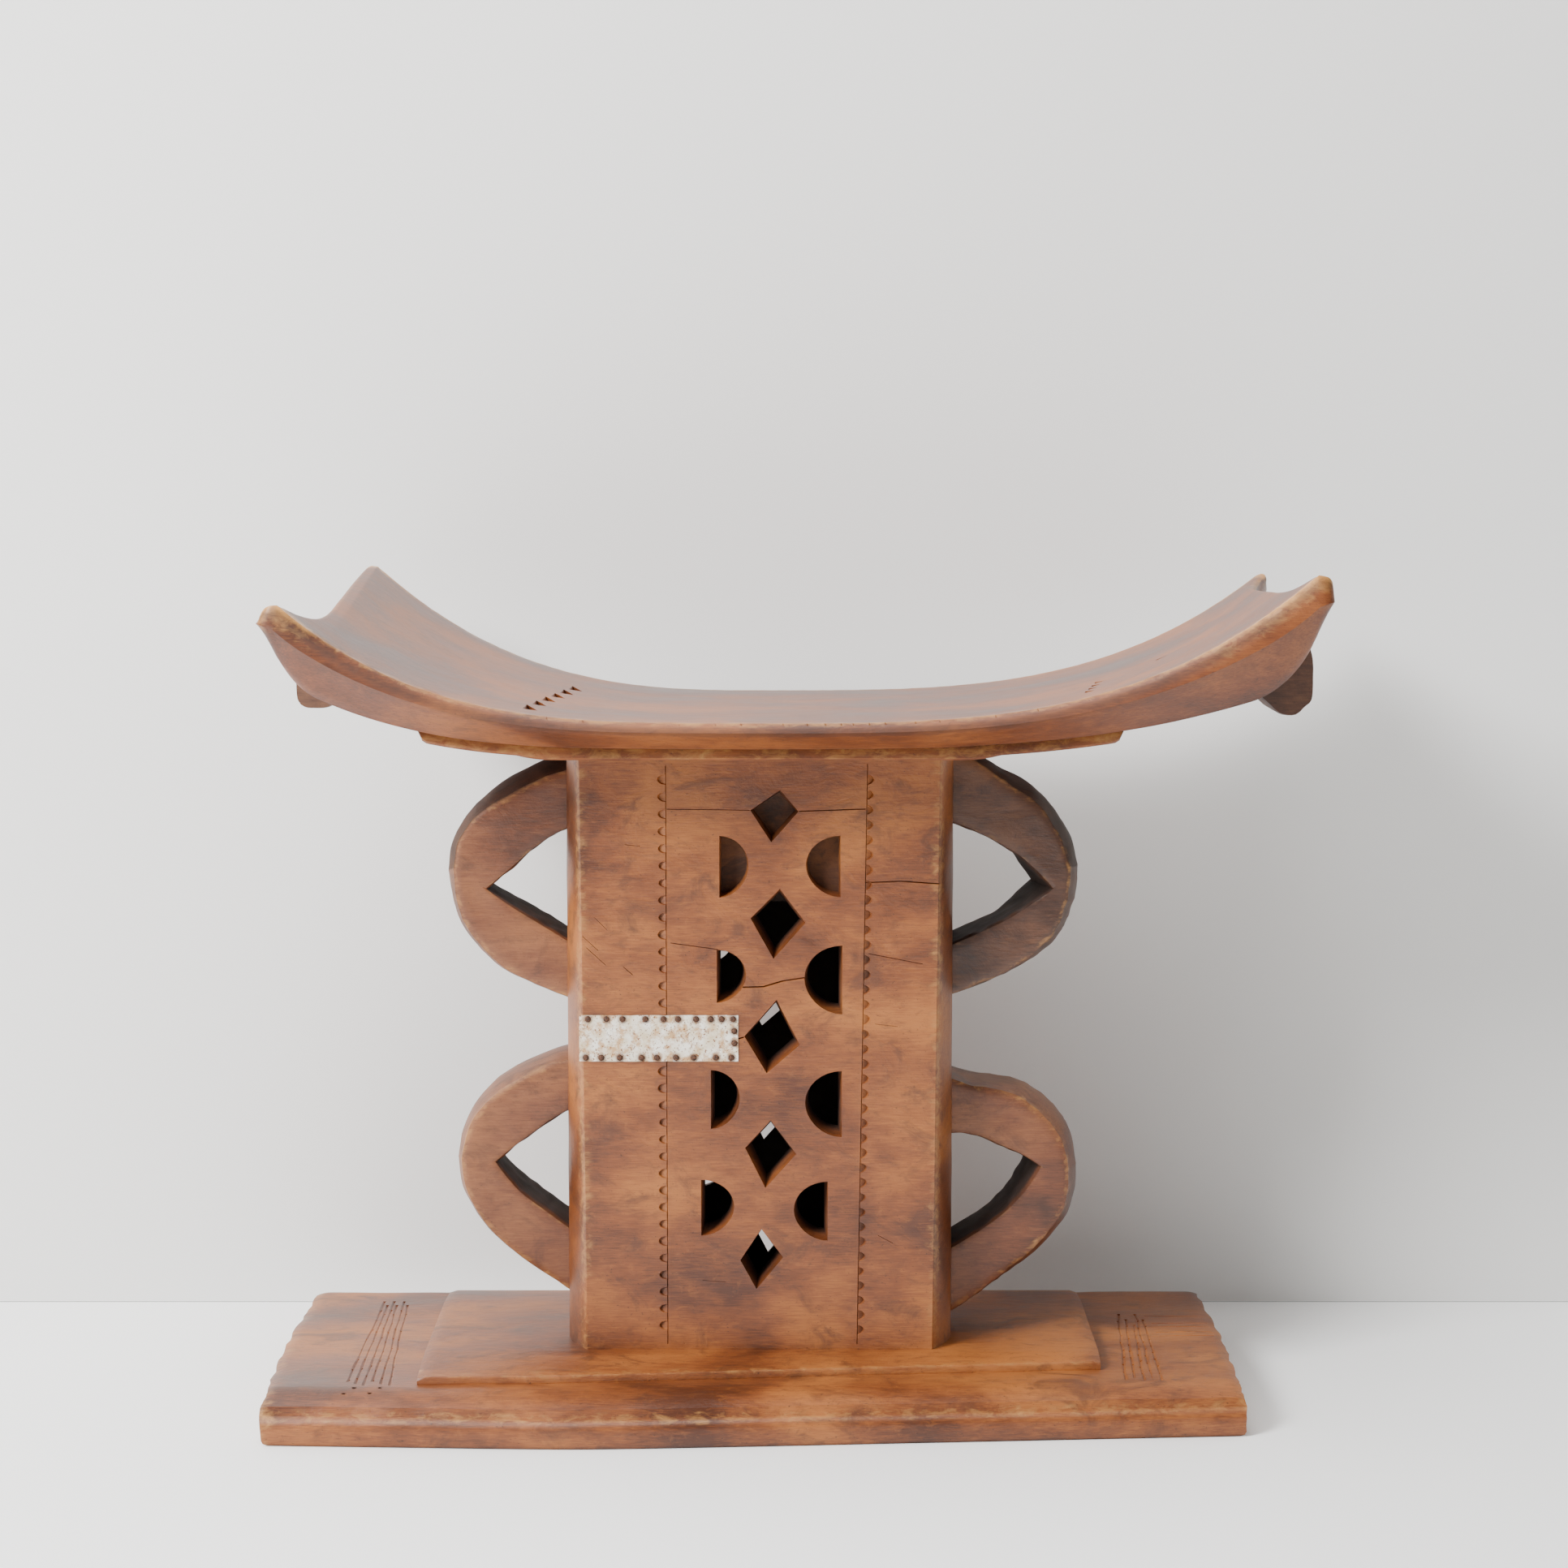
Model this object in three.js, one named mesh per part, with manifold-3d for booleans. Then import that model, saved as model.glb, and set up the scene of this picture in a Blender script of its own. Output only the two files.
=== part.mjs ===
// A carved wooden stool with a crescent seat, a pierced hollow column, four loop handles
// and a stepped base, all cut from one block, with a tin plate tacked over a crack.
//
// Millimetres. X runs along the seat, Y from the front (-) to the back (+), Z up.
// Everything is drawn about the column's own axis. The finished group is then shifted
// along X, so that the origin lies on the ground under the middle of the whole stool.

import * as THREE from 'three';
import { mergeVertices } from 'three/addons/utils/BufferGeometryUtils.js';
import Module from 'manifold-3d';

const wasm = await Module();
wasm.setup();

// ---------------------------------------------------------------- driving dimensions

// Slab on the ground. Its front edge is not quite straight, as a carver leaves it.
const SLAB_LEFT = 258;
const SLAB_RIGHT = 253;
const SLAB_DEPTH = 254;
const SLAB_FRONT_CREST_X = -97;
const SLAB_FRONT_LEFT_DROP = 7;
const SLAB_FRONT_RIGHT_DROP = 25;
const SLAB_FRONT_EDGE = 15;
const SLAB_BACK_EDGE = 17;
const SLAB_HEIGHT = 26;
const SLAB_BEVEL = 24;
const SLAB_END_BOW = 3;
const SLAB_BACK_CORNER = 16;

// Step on the slab, set in from the slab's ends. Its long edges lie between the column's faces
// and the slab's bevels, at these shares of the way out, so it carries the one on the other.
const STEP_LEFT_MARGIN = 82;
const STEP_RIGHT_MARGIN = 75;
const STEP_FRONT_LEFT_SHARE = 0.914;
const STEP_FRONT_RIGHT_SHARE = 0.44;
const STEP_BACK_SHARE = 0.84;
const STEP_EDGE = 4;
const STEP_CROWN = 7;
const STEP_FLAT_MARGIN = 3;

// Column. It narrows a little towards its foot, and its flanks swell towards mid-depth.
const COLUMN_HEIGHT = 315;
const COLUMN_WIDTH = 189;
const COLUMN_DEPTH = 106;
const COLUMN_FOOT_INSET = 3;
const FLANK_SWELL = 7.5;
const FLANK_FLAT_MARGIN = 0.5;
const CHEEK_WALL = 28.5;
const FACE_WALL = 18;
const HEAD_HEIGHT = 80;

// Loop handles. A side's two loops share the height that its three margins leave.
const LOOP_DEPTH = 47;
const LEFT_LOOPS = { above: 5, between: 25, below: 20 };
const RIGHT_LOOPS = { above: 0, between: 40.5, below: 7 };
const UPPER_LEFT_LOOP = { reach: 64, rise: 2, hole: 40, holeRise: -3, upperArm: 37.5, lowerArm: 35 };
const LOWER_LEFT_LOOP = { reach: 60, rise: 9, hole: 38, holeRise: 2, upperArm: 30, lowerArm: 39 };
const UPPER_RIGHT_LOOP = { reach: 68, rise: 2, hole: 46, holeRise: -3, upperArm: 40, lowerArm: 30 };
const LOWER_RIGHT_LOOP = { reach: 68, rise: 15, hole: 44, holeRise: 12, upperArm: 31, lowerArm: 41 };

// Fullness of a loop's outer curve, as shares of its reach and of its height above and below
// its furthest point.
const LOOP_TOP_PULL = 0.45;
const LOOP_TOP_FALL = 0.22;
const LOOP_CREST_RISE = 0.5;
const LOOP_CREST_FALL = 0.42;
const LOOP_FOOT_PULL = 0.55;
const LOOP_FOOT_LIFT = 0.2;

// Piercings of the column: diamonds down the middle, a pair of half-moons between each two.
const DIAMOND_COUNT = 5;
const DIAMOND_WIDTH = 28;
const DIAMOND_HEIGHT = 37;
const TOP_DIAMOND_WIDTH = 25.5;
const TOP_DIAMOND_HEIGHT = 28;
const TOP_DIAMOND_DROP = 33;
const FOOT_DIAMOND_RISE = 48;
const DIAMOND_X = 8;
const DIAMOND_LEAN = 6;
const MOON_WIDTH = 17;
const MOON_HEIGHT = 31;
const MOON_RISE = 1.5;
const LEFT_MOON_X = -21;
const RIGHT_MOON_X = 43;
const PIERCING_TAPER = 3.5;
const RECESS_DEPTH = 15;
const BACK_PATTERN_RISE = 4;

// Panel under the seat, and the seat itself.
const PANEL_LEFT = 172;
const PANEL_RIGHT = 184;
const PANEL_DEPTH = 198;
const PANEL_THICKNESS = 6;
const PANEL_FLAT_MARGIN = 8;
const SEAT_DEPTH = 236;
const SEAT_FACE_CROWN = 3.5;
const SEAT_UNDERSIDE_DEPTH = 212;
const SEAT_THICKNESS = 14.5;
const SEAT_UNDERSIDE_RISE = 9.3;
const SEAT_END_ROUND = 4;
const SEAT_CROWN_SHARE = 0.7;

// How suddenly the seat curls: the power of the distance out that each of its lines follows.
const SEAT_TOP_POWER = 3;
const SEAT_UNDERSIDE_POWER = 4;
const SEAT_HORN_POWER = 4;

// Seat ends: reach of the top edge at the front horn, in the middle and at the back horn,
// and how far the top surface has risen there.
const LEFT_END = { front: 245, middle: 224, back: 221, frontRise: 61, backRise: 70 };
const RIGHT_END = { front: 284, middle: 272, back: 281, frontRise: 74, backRise: 67 };

// Lugs under the seat's ends.
const LUG_WIDTH = 60;
const LUG_OVERHANG = 19;
const LUG_FOOT_RISE = 20.5;
const LUG_FOOT = 11;
const LUG_TOP_DROP = 22;
const LUG_ROUND = 6;
const LUG_CLEARANCE = 0.3;

// Tin plate and its tacks. It runs from the column's left corner to just short of a diamond.
const PLATE_ROW = 2;
const PLATE_RISE = 0.5;
const PLATE_DIAMOND_GAP = 2.08;
const PLATE_HEIGHT = 24.5;
const PLATE_THICKNESS = 0.6;
const PLATE_OVERHANG = 1;
const TACK_HEAD_RADIUS = 1.7;
const TACK_HEAD_HEIGHT = 1;
const TACK_SHANK_RADIUS = 0.5;
const TACK_SHANK_LENGTH = 6;
const TACK_TIP_LENGTH = 1;
const TACK_DOME_RADIUS_SHARE = 0.8;
const TACK_DOME_HEIGHT_SHARE = 0.65;
const TACK_CLEARANCE = 0.15;
const HOLE_OVERRUN = 1;
const TACK_INSET = 2.1;
const TOP_TACKS = [0.055, 0.172, 0.273, 0.416, 0.53, 0.621, 0.734, 0.827, 0.895, 0.967];
const BOTTOM_TACKS = [0.041, 0.139, 0.255, 0.392, 0.488, 0.608, 0.719, 0.858, 0.956];
const EDGE_TACKS = [0.34, 0.6];

// Fineness of the faceted curves, and how far a cutter runs past what it cuts.
const LOOP_CURVE_STEPS = 10;
const MOON_CURVE_STEPS = 8;
const SEAT_CENTRE_STEPS = 4;
const SEAT_END_STEPS = 7;
const SEAT_DEPTH_STEPS = 4;
const TACK_SIDES = 8;
const HOLE_SIDES = 6;
const OVERCUT = 2;

// Radians from one tack hole to the next, so that no two neighbours' corners fall in one line.
const HOLE_TURN = 0.37;

// ---------------------------------------------------------------- sizes that follow

const COLUMN_FOOT = SLAB_HEIGHT + STEP_CROWN;
const COLUMN_TOP = COLUMN_FOOT + COLUMN_HEIGHT;
const HEAD_FOOT = COLUMN_TOP - HEAD_HEIGHT;
const FLANK_X = COLUMN_WIDTH / 2 + FLANK_SWELL;
const FLANK_FLAT = LOOP_DEPTH + 2 * FLANK_FLAT_MARGIN;
const CAVITY_HALF_WIDTH = COLUMN_WIDTH / 2 - CHEEK_WALL;
const CAVITY_HALF_DEPTH = COLUMN_DEPTH / 2 - FACE_WALL;
const SEAT_UNDERSIDE = COLUMN_TOP + PANEL_THICKNESS;
const SEAT_TOP = SEAT_UNDERSIDE + SEAT_THICKNESS;
const FRONT_FACE = -COLUMN_DEPTH / 2;
const ROW_GAPS = DIAMOND_COUNT - 1;
const ROW_PITCH = (COLUMN_HEIGHT - TOP_DIAMOND_DROP - FOOT_DIAMOND_RISE) / ROW_GAPS;
const PLATE_MIDDLE = rowHeight(PLATE_ROW) + PLATE_RISE;
const PLATE_TOP = PLATE_MIDDLE + PLATE_HEIGHT / 2;
const PLATE_BOTTOM = PLATE_MIDDLE - PLATE_HEIGHT / 2;
const PLATE_LEFT = -cornerX(PLATE_MIDDLE) - PLATE_OVERHANG;
const PLATE_RIGHT = DIAMOND_X - rowLean(PLATE_ROW) - DIAMOND_WIDTH / 2 - PLATE_DIAMOND_GAP;
const PLATE_LENGTH = PLATE_RIGHT - PLATE_LEFT;
const LEFT_SIDE = -1;
const RIGHT_SIDE = 1;

const WOOD = { color: 0x9a6240, roughness: 0.48, metalness: 0 };
const PAINTED_TIN = { color: 0xd9cfbd, roughness: 0.6, metalness: 0.3 };
const RUSTY_IRON = { color: 0x4a3128, roughness: 0.8, metalness: 0.5 };

// ---------------------------------------------------------------- solids

/** Closed solid through rings of equal point count, listed anticlockwise seen from its end. */
function ringSolid(rings) {
  const positions = [];
  const indices = [];
  const count = rings[0].length;
  for (const ring of rings) {
    ring.forEach((point) => positions.push(...point));
  }
  for (let row = 0; row + 1 < rings.length; row += 1) {
    for (let here = 0; here < count; here += 1) {
      const next = (here + 1) % count;
      const a = row * count + here;
      const b = row * count + next;
      indices.push(a, b, b + count, a, b + count, a + count);
    }
  }
  addCap(rings[0], 0, false);
  addCap(rings[rings.length - 1], (rings.length - 1) * count, true);

  function addCap(ring, offset, atEnd) {
    const hub = positions.length / 3;
    for (let axis = 0; axis < 3; axis += 1) {
      positions.push(ring.reduce((sum, point) => sum + point[axis], 0) / count);
    }
    for (let here = 0; here < count; here += 1) {
      const next = (here + 1) % count;
      indices.push(hub, offset + (atEnd ? here : next), offset + (atEnd ? next : here));
    }
  }

  const geometry = new THREE.BufferGeometry();
  geometry.setAttribute('position', new THREE.Float32BufferAttribute(positions, 3));
  geometry.setIndex(indices);
  return geometry;
}

/** Prism of an X-Z outline between two depths. */
function prismAlongY(outline, yFront, yBack) {
  const shape = Array.isArray(outline) ? new THREE.Shape(outline) : outline;
  const settings = { depth: yBack - yFront, bevelEnabled: false, curveSegments: LOOP_CURVE_STEPS };
  const geometry = new THREE.ExtrudeGeometry(shape, settings);
  geometry.applyMatrix4(new THREE.Matrix4().makeRotationX(Math.PI / 2));
  return geometry.translate(0, yBack, 0);
}

/** Prism of an X-Y outline between two heights. */
function prismAlongZ(outline, zLow, zHigh) {
  const settings = { depth: zHigh - zLow, bevelEnabled: false, curveSegments: LOOP_CURVE_STEPS };
  return new THREE.ExtrudeGeometry(outline, settings).translate(0, 0, zLow);
}

function block(xLow, xHigh, yLow, yHigh, zLow, zHigh) {
  const geometry = new THREE.BoxGeometry(xHigh - xLow, yHigh - yLow, zHigh - zLow);
  return geometry.translate((xLow + xHigh) / 2, (yLow + yHigh) / 2, (zLow + zHigh) / 2);
}

function toManifold(geometry) {
  const bare = geometry.clone();
  bare.deleteAttribute('normal');
  bare.deleteAttribute('uv');
  const merged = mergeVertices(bare, 1e-4);
  return new wasm.Manifold(new wasm.Mesh({
    numProp: 3,
    vertProperties: new Float32Array(merged.attributes.position.array),
    triVerts: new Uint32Array(merged.index.array),
  }));
}

function toGeometry(solid) {
  const mesh = solid.getMesh();
  const geometry = new THREE.BufferGeometry();
  geometry.setAttribute('position', new THREE.BufferAttribute(mesh.vertProperties, 3));
  geometry.setIndex(new THREE.BufferAttribute(mesh.triVerts, 1));
  return geometry;
}

function cut(geometry, cutters) {
  const solid = cutters.reduce((left, cutter) => left.subtract(toManifold(cutter)), toManifold(geometry));
  return toGeometry(solid);
}

function common(first, second) {
  return toGeometry(toManifold(first).intersect(toManifold(second)));
}

const stool = new THREE.Group();

function addMesh(name, geometry, finish) {
  const mesh = new THREE.Mesh(geometry, new THREE.MeshStandardMaterial(finish));
  mesh.name = name;
  stool.add(mesh);
}

// ---------------------------------------------------------------- base

/** Y of the slab's front edge, which bulges at the crest and falls back towards both ends. */
function slabFront(x) {
  const left = x < SLAB_FRONT_CREST_X;
  const span = left ? SLAB_LEFT + SLAB_FRONT_CREST_X : SLAB_RIGHT - SLAB_FRONT_CREST_X;
  const drop = left ? SLAB_FRONT_LEFT_DROP : SLAB_FRONT_RIGHT_DROP;
  return -SLAB_DEPTH / 2 + drop * Math.abs(x - SLAB_FRONT_CREST_X) / span;
}

function slabSection(x) {
  const front = slabFront(x);
  const back = SLAB_DEPTH / 2;
  return [
    [x, front, 0],
    [x, back, 0],
    [x, back, SLAB_BACK_EDGE],
    [x, back - SLAB_BEVEL, SLAB_HEIGHT],
    [x, front + SLAB_BEVEL, SLAB_HEIGHT],
    [x, front, SLAB_FRONT_EDGE],
  ];
}

/** Plan of the slab: bowed ends and rounded back corners. */
function slabPlan() {
  const front = -SLAB_DEPTH / 2 - OVERCUT;
  const back = SLAB_DEPTH / 2;
  const left = -SLAB_LEFT + SLAB_END_BOW;
  const right = SLAB_RIGHT - SLAB_END_BOW;
  const plan = new THREE.Shape();
  plan.moveTo(left, front);
  plan.lineTo(right, front);
  plan.quadraticCurveTo(right + 2 * SLAB_END_BOW, 0, right, back - SLAB_BACK_CORNER);
  plan.quadraticCurveTo(right, back, right - SLAB_BACK_CORNER, back);
  plan.lineTo(left + SLAB_BACK_CORNER, back);
  plan.quadraticCurveTo(left, back, left, back - SLAB_BACK_CORNER);
  plan.quadraticCurveTo(left - 2 * SLAB_END_BOW, 0, left, front);
  return plan;
}

/** The hollow of the column, from under the ground to the foot of the head. */
function cavity() {
  const x = CAVITY_HALF_WIDTH;
  const y = CAVITY_HALF_DEPTH;
  return block(-x, x, -y, y, -OVERCUT, HEAD_FOOT);
}

function baseSlab() {
  const rings = [-SLAB_LEFT, SLAB_FRONT_CREST_X, SLAB_RIGHT].map(slabSection);
  const plan = prismAlongZ(slabPlan(), -OVERCUT, SLAB_HEIGHT + OVERCUT);
  return cut(common(ringSolid(rings), plan), [cavity()]);
}

/** Y of an edge of the step, a share of the way from a column face out to a bevel of the slab. */
function stepEdge(face, bevel, share) {
  return face + share * (bevel - face);
}

function stepSection(x, frontShare) {
  const front = stepEdge(FRONT_FACE, slabFront(x) + SLAB_BEVEL, frontShare);
  const back = stepEdge(-FRONT_FACE, SLAB_DEPTH / 2 - SLAB_BEVEL, STEP_BACK_SHARE);
  const flat = COLUMN_DEPTH / 2 + STEP_FLAT_MARGIN;
  return [
    [x, front, SLAB_HEIGHT],
    [x, back, SLAB_HEIGHT],
    [x, back, SLAB_HEIGHT + STEP_EDGE],
    [x, flat, COLUMN_FOOT],
    [x, -flat, COLUMN_FOOT],
    [x, front, SLAB_HEIGHT + STEP_EDGE],
  ];
}

function baseStep() {
  const rings = [
    stepSection(-SLAB_LEFT + STEP_LEFT_MARGIN, STEP_FRONT_LEFT_SHARE),
    stepSection(SLAB_RIGHT - STEP_RIGHT_MARGIN, STEP_FRONT_RIGHT_SHARE),
  ];
  return cut(ringSolid(rings), [cavity()]);
}

addMesh('base_slab', baseSlab(), WOOD);
addMesh('base_step', baseStep(), WOOD);

// ---------------------------------------------------------------- column

/** X of the column's corner on one side at a height. */
function cornerX(z) {
  return COLUMN_WIDTH / 2 - COLUMN_FOOT_INSET * (COLUMN_TOP - z) / COLUMN_HEIGHT;
}

/** Flank of one side at a height, from its front corner to its back corner. */
function flankPoints(side, z) {
  const corner = side * cornerX(z);
  const flank = side * FLANK_X;
  return [
    [corner, -COLUMN_DEPTH / 2, z],
    [flank, -FLANK_FLAT / 2, z],
    [flank, FLANK_FLAT / 2, z],
    [corner, COLUMN_DEPTH / 2, z],
  ];
}

function headSection(z) {
  return [...flankPoints(RIGHT_SIDE, z), ...flankPoints(LEFT_SIDE, z).reverse()];
}

function cheekSection(side, z) {
  const inner = side * CAVITY_HALF_WIDTH;
  const ring = [...flankPoints(side, z), [inner, COLUMN_DEPTH / 2, z], [inner, -COLUMN_DEPTH / 2, z]];
  return side === RIGHT_SIDE ? ring : ring.reverse();
}

/** Outline of a diamond, as X-Z points. */
function diamondOutline(x, z, width, height) {
  return [[x, z - height / 2], [x + width / 2, z], [x, z + height / 2], [x - width / 2, z]];
}

/** Outline of a half-moon whose round side faces the middle of the column. */
function moonOutline(x, z, width, height, side) {
  const points = [];
  for (let step = 0; step <= MOON_CURVE_STEPS; step += 1) {
    const turn = Math.PI * (step / MOON_CURVE_STEPS - 0.5);
    points.push([x - side * width * Math.cos(turn), z - side * height / 2 * Math.sin(turn)]);
  }
  return points;
}

/** Tapered cutter between an outline on the outer face and a smaller one further in. */
function piercing(outlineAt, face, depth) {
  const slope = PIERCING_TAPER / FACE_WALL;
  const inward = face === 'front' ? 1 : -1;
  const outer = inward * FRONT_FACE - inward * OVERCUT;
  const inner = inward * FRONT_FACE + inward * depth;
  const rise = face === 'front' ? 0 : BACK_PATTERN_RISE;
  const ringAt = (y, shrink) => outlineAt(shrink).map(([x, z]) => [x, y, z + rise]);
  const rings = [ringAt(outer, -2 * slope * OVERCUT), ringAt(inner, 2 * slope * depth)];
  return ringSolid(face === 'front' ? rings.map((ring) => ring.reverse()) : rings);
}

/** Height of the middle of a row's diamond. Row 0 is the topmost. */
function rowHeight(row) {
  return COLUMN_TOP - TOP_DIAMOND_DROP - row * ROW_PITCH;
}

/** How far a row stands to the left of the topmost one. */
function rowLean(row) {
  return DIAMOND_LEAN * row / ROW_GAPS;
}

/** All piercings of one face. Those in the head are blind, the others reach the hollow. */
function piercings(face) {
  const depthOf = (row) => (row === 0 ? RECESS_DEPTH : FACE_WALL + OVERCUT);
  const cutters = [];
  for (let row = 0; row < DIAMOND_COUNT; row += 1) {
    const x = DIAMOND_X - rowLean(row);
    const width = row === 0 ? TOP_DIAMOND_WIDTH : DIAMOND_WIDTH;
    const height = row === 0 ? TOP_DIAMOND_HEIGHT : DIAMOND_HEIGHT;
    const outline = (shrink) => diamondOutline(x, rowHeight(row), width - shrink, height - shrink);
    cutters.push(piercing(outline, face, depthOf(row)));
  }
  for (let row = 0; row < ROW_GAPS; row += 1) {
    const z = rowHeight(row) - ROW_PITCH / 2 + MOON_RISE;
    for (const [side, flat] of [[LEFT_SIDE, LEFT_MOON_X], [RIGHT_SIDE, RIGHT_MOON_X]]) {
      const chord = flat - rowLean(row);
      const outline = (shrink) => moonOutline(
        chord - side * shrink / 2, z, MOON_WIDTH - shrink, MOON_HEIGHT - shrink, side);
      cutters.push(piercing(outline, face, depthOf(row)));
    }
  }
  return cutters;
}

// ---------------------------------------------------------------- tin plate and tacks

/** Places of the tacks on the plate, as X and Z. */
function tackPlaces() {
  return [
    ...TOP_TACKS.map((share) => [PLATE_LEFT + share * PLATE_LENGTH, PLATE_TOP - TACK_INSET]),
    ...BOTTOM_TACKS.map((share) => [PLATE_LEFT + share * PLATE_LENGTH, PLATE_BOTTOM + TACK_INSET]),
    ...EDGE_TACKS.map((share) => [PLATE_RIGHT - TACK_INSET, PLATE_TOP - share * PLATE_HEIGHT]),
  ];
}

/** A tack with its axis along Y, its head's flat underside at Y = 0 and its shank behind. */
function tack() {
  const profile = [
    [0, -TACK_SHANK_LENGTH],
    [TACK_SHANK_RADIUS, TACK_TIP_LENGTH - TACK_SHANK_LENGTH],
    [TACK_SHANK_RADIUS, 0],
    [TACK_HEAD_RADIUS, 0],
    [TACK_HEAD_RADIUS * TACK_DOME_RADIUS_SHARE, TACK_HEAD_HEIGHT * TACK_DOME_HEIGHT_SHARE],
    [0, TACK_HEAD_HEIGHT],
  ].map(([radius, height]) => new THREE.Vector2(radius, height));
  return new THREE.LatheGeometry(profile, TACK_SIDES).rotateX(Math.PI);
}

/** Cutter along Y for the shank of each tack, no two turned alike, from the plate into the wood. */
function tackHoles() {
  const radius = TACK_SHANK_RADIUS + TACK_CLEARANCE;
  const length = TACK_SHANK_LENGTH + 2 * HOLE_OVERRUN;
  return tackPlaces().map(([x, z], index) => {
    const hole = new THREE.CylinderGeometry(radius, radius, length, HOLE_SIDES).rotateY(index * HOLE_TURN);
    const depth = length / 2 - HOLE_OVERRUN - PLATE_THICKNESS;
    return hole.translate(x, FRONT_FACE + depth, z);
  });
}

function repairPlate() {
  const sheet = block(PLATE_LEFT, PLATE_RIGHT, FRONT_FACE - PLATE_THICKNESS,
    FRONT_FACE, PLATE_BOTTOM, PLATE_TOP);
  return cut(sheet, tackHoles());
}

addMesh('column_head', cut(ringSolid([headSection(HEAD_FOOT), headSection(COLUMN_TOP)]),
  [...piercings('front'), ...piercings('back')]), WOOD);

const frontWall = block(-CAVITY_HALF_WIDTH, CAVITY_HALF_WIDTH, FRONT_FACE, -CAVITY_HALF_DEPTH,
  COLUMN_FOOT, HEAD_FOOT);
const backWall = block(-CAVITY_HALF_WIDTH, CAVITY_HALF_WIDTH, CAVITY_HALF_DEPTH, -FRONT_FACE,
  COLUMN_FOOT, HEAD_FOOT);
addMesh('column_front_wall', cut(frontWall, [...piercings('front'), ...tackHoles()]), WOOD);
addMesh('column_back_wall', cut(backWall, piercings('back')), WOOD);

const leftCheek = ringSolid([COLUMN_FOOT, HEAD_FOOT].map((z) => cheekSection(LEFT_SIDE, z)));
const rightCheek = ringSolid([COLUMN_FOOT, HEAD_FOOT].map((z) => cheekSection(RIGHT_SIDE, z)));
addMesh('column_left_cheek', cut(leftCheek, tackHoles()), WOOD);
addMesh('column_right_cheek', rightCheek, WOOD);

addMesh('repair_plate', repairPlate(), PAINTED_TIN);
tackPlaces().forEach(([x, z], index) => {
  const name = `repair_tack_${String(index + 1).padStart(2, '0')}`;
  addMesh(name, tack().translate(x, FRONT_FACE - PLATE_THICKNESS, z), RUSTY_IRON);
});

// ---------------------------------------------------------------- loop handles

/** Outline of a loop that springs from the flank between two heights. */
function loopOutline(side, sizes, low, high) {
  const middle = (low + high) / 2;
  const out = side * (FLANK_X + sizes.reach);
  const root = side * FLANK_X;
  const crest = middle + sizes.rise;
  const reach = side * sizes.reach;
  const outline = new THREE.Shape();
  outline.moveTo(root, high);
  outline.bezierCurveTo(root + reach * LOOP_TOP_PULL, high - (high - crest) * LOOP_TOP_FALL,
    out, crest + (high - crest) * LOOP_CREST_RISE, out, crest);
  outline.bezierCurveTo(out, crest - (crest - low) * LOOP_CREST_FALL,
    root + reach * LOOP_FOOT_PULL, low + (crest - low) * LOOP_FOOT_LIFT, root, low);
  outline.lineTo(root, low + sizes.lowerArm);
  outline.lineTo(side * (FLANK_X + sizes.hole), middle + sizes.holeRise);
  outline.lineTo(root, high - sizes.upperArm);
  outline.closePath();
  return outline;
}

function addLoops(side, margins, upperName, upperSizes, lowerName, lowerSizes) {
  const span = (COLUMN_HEIGHT - margins.above - margins.between - margins.below) / 2;
  const upperHigh = COLUMN_TOP - margins.above;
  const lowerLow = COLUMN_FOOT + margins.below;
  const upper = loopOutline(side, upperSizes, upperHigh - span, upperHigh);
  const lower = loopOutline(side, lowerSizes, lowerLow, lowerLow + span);
  addMesh(upperName, prismAlongY(upper, -LOOP_DEPTH / 2, LOOP_DEPTH / 2), WOOD);
  addMesh(lowerName, prismAlongY(lower, -LOOP_DEPTH / 2, LOOP_DEPTH / 2), WOOD);
}

addLoops(LEFT_SIDE, LEFT_LOOPS, 'upper_left_loop', UPPER_LEFT_LOOP, 'lower_left_loop', LOWER_LEFT_LOOP);
addLoops(RIGHT_SIDE, RIGHT_LOOPS, 'upper_right_loop', UPPER_RIGHT_LOOP,
  'lower_right_loop', LOWER_RIGHT_LOOP);

// ---------------------------------------------------------------- seat

/** Reach of the seat's top edge on one side at a depth. */
function endReach(side, y) {
  const end = side === LEFT_SIDE ? LEFT_END : RIGHT_END;
  const share = Math.abs(y) / (SEAT_DEPTH / 2);
  return end.middle + ((y < 0 ? end.front : end.back) - end.middle) * share ** SEAT_HORN_POWER;
}

/** Height of the seat's top surface, which curls up towards the ends. */
function seatTopZ(x, y) {
  const end = x < 0 ? LEFT_END : RIGHT_END;
  const share = y / SEAT_DEPTH + 0.5;
  const frontCurl = end.frontRise / end.front ** SEAT_TOP_POWER;
  const backCurl = end.backRise / end.back ** SEAT_TOP_POWER;
  return SEAT_TOP + (frontCurl + (backCurl - frontCurl) * share) * Math.abs(x) ** SEAT_TOP_POWER;
}

/** Height of the seat's underside, flat across the depth. */
function seatUndersideZ(x) {
  const span = x < 0 ? PANEL_LEFT : PANEL_RIGHT;
  return SEAT_UNDERSIDE + SEAT_UNDERSIDE_RISE * (Math.abs(x) / span) ** SEAT_UNDERSIDE_POWER;
}

function spread(low, high, steps) {
  return Array.from({ length: steps + 1 }, (_, step) => low + (high - low) * step / steps);
}

/** Stations across the panel, which the panel and the seat share. */
function panelStations() {
  const flat = FLANK_X + PANEL_FLAT_MARGIN;
  return [-PANEL_LEFT, ...spread(-flat, flat, SEAT_CENTRE_STEPS), PANEL_RIGHT];
}

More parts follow.
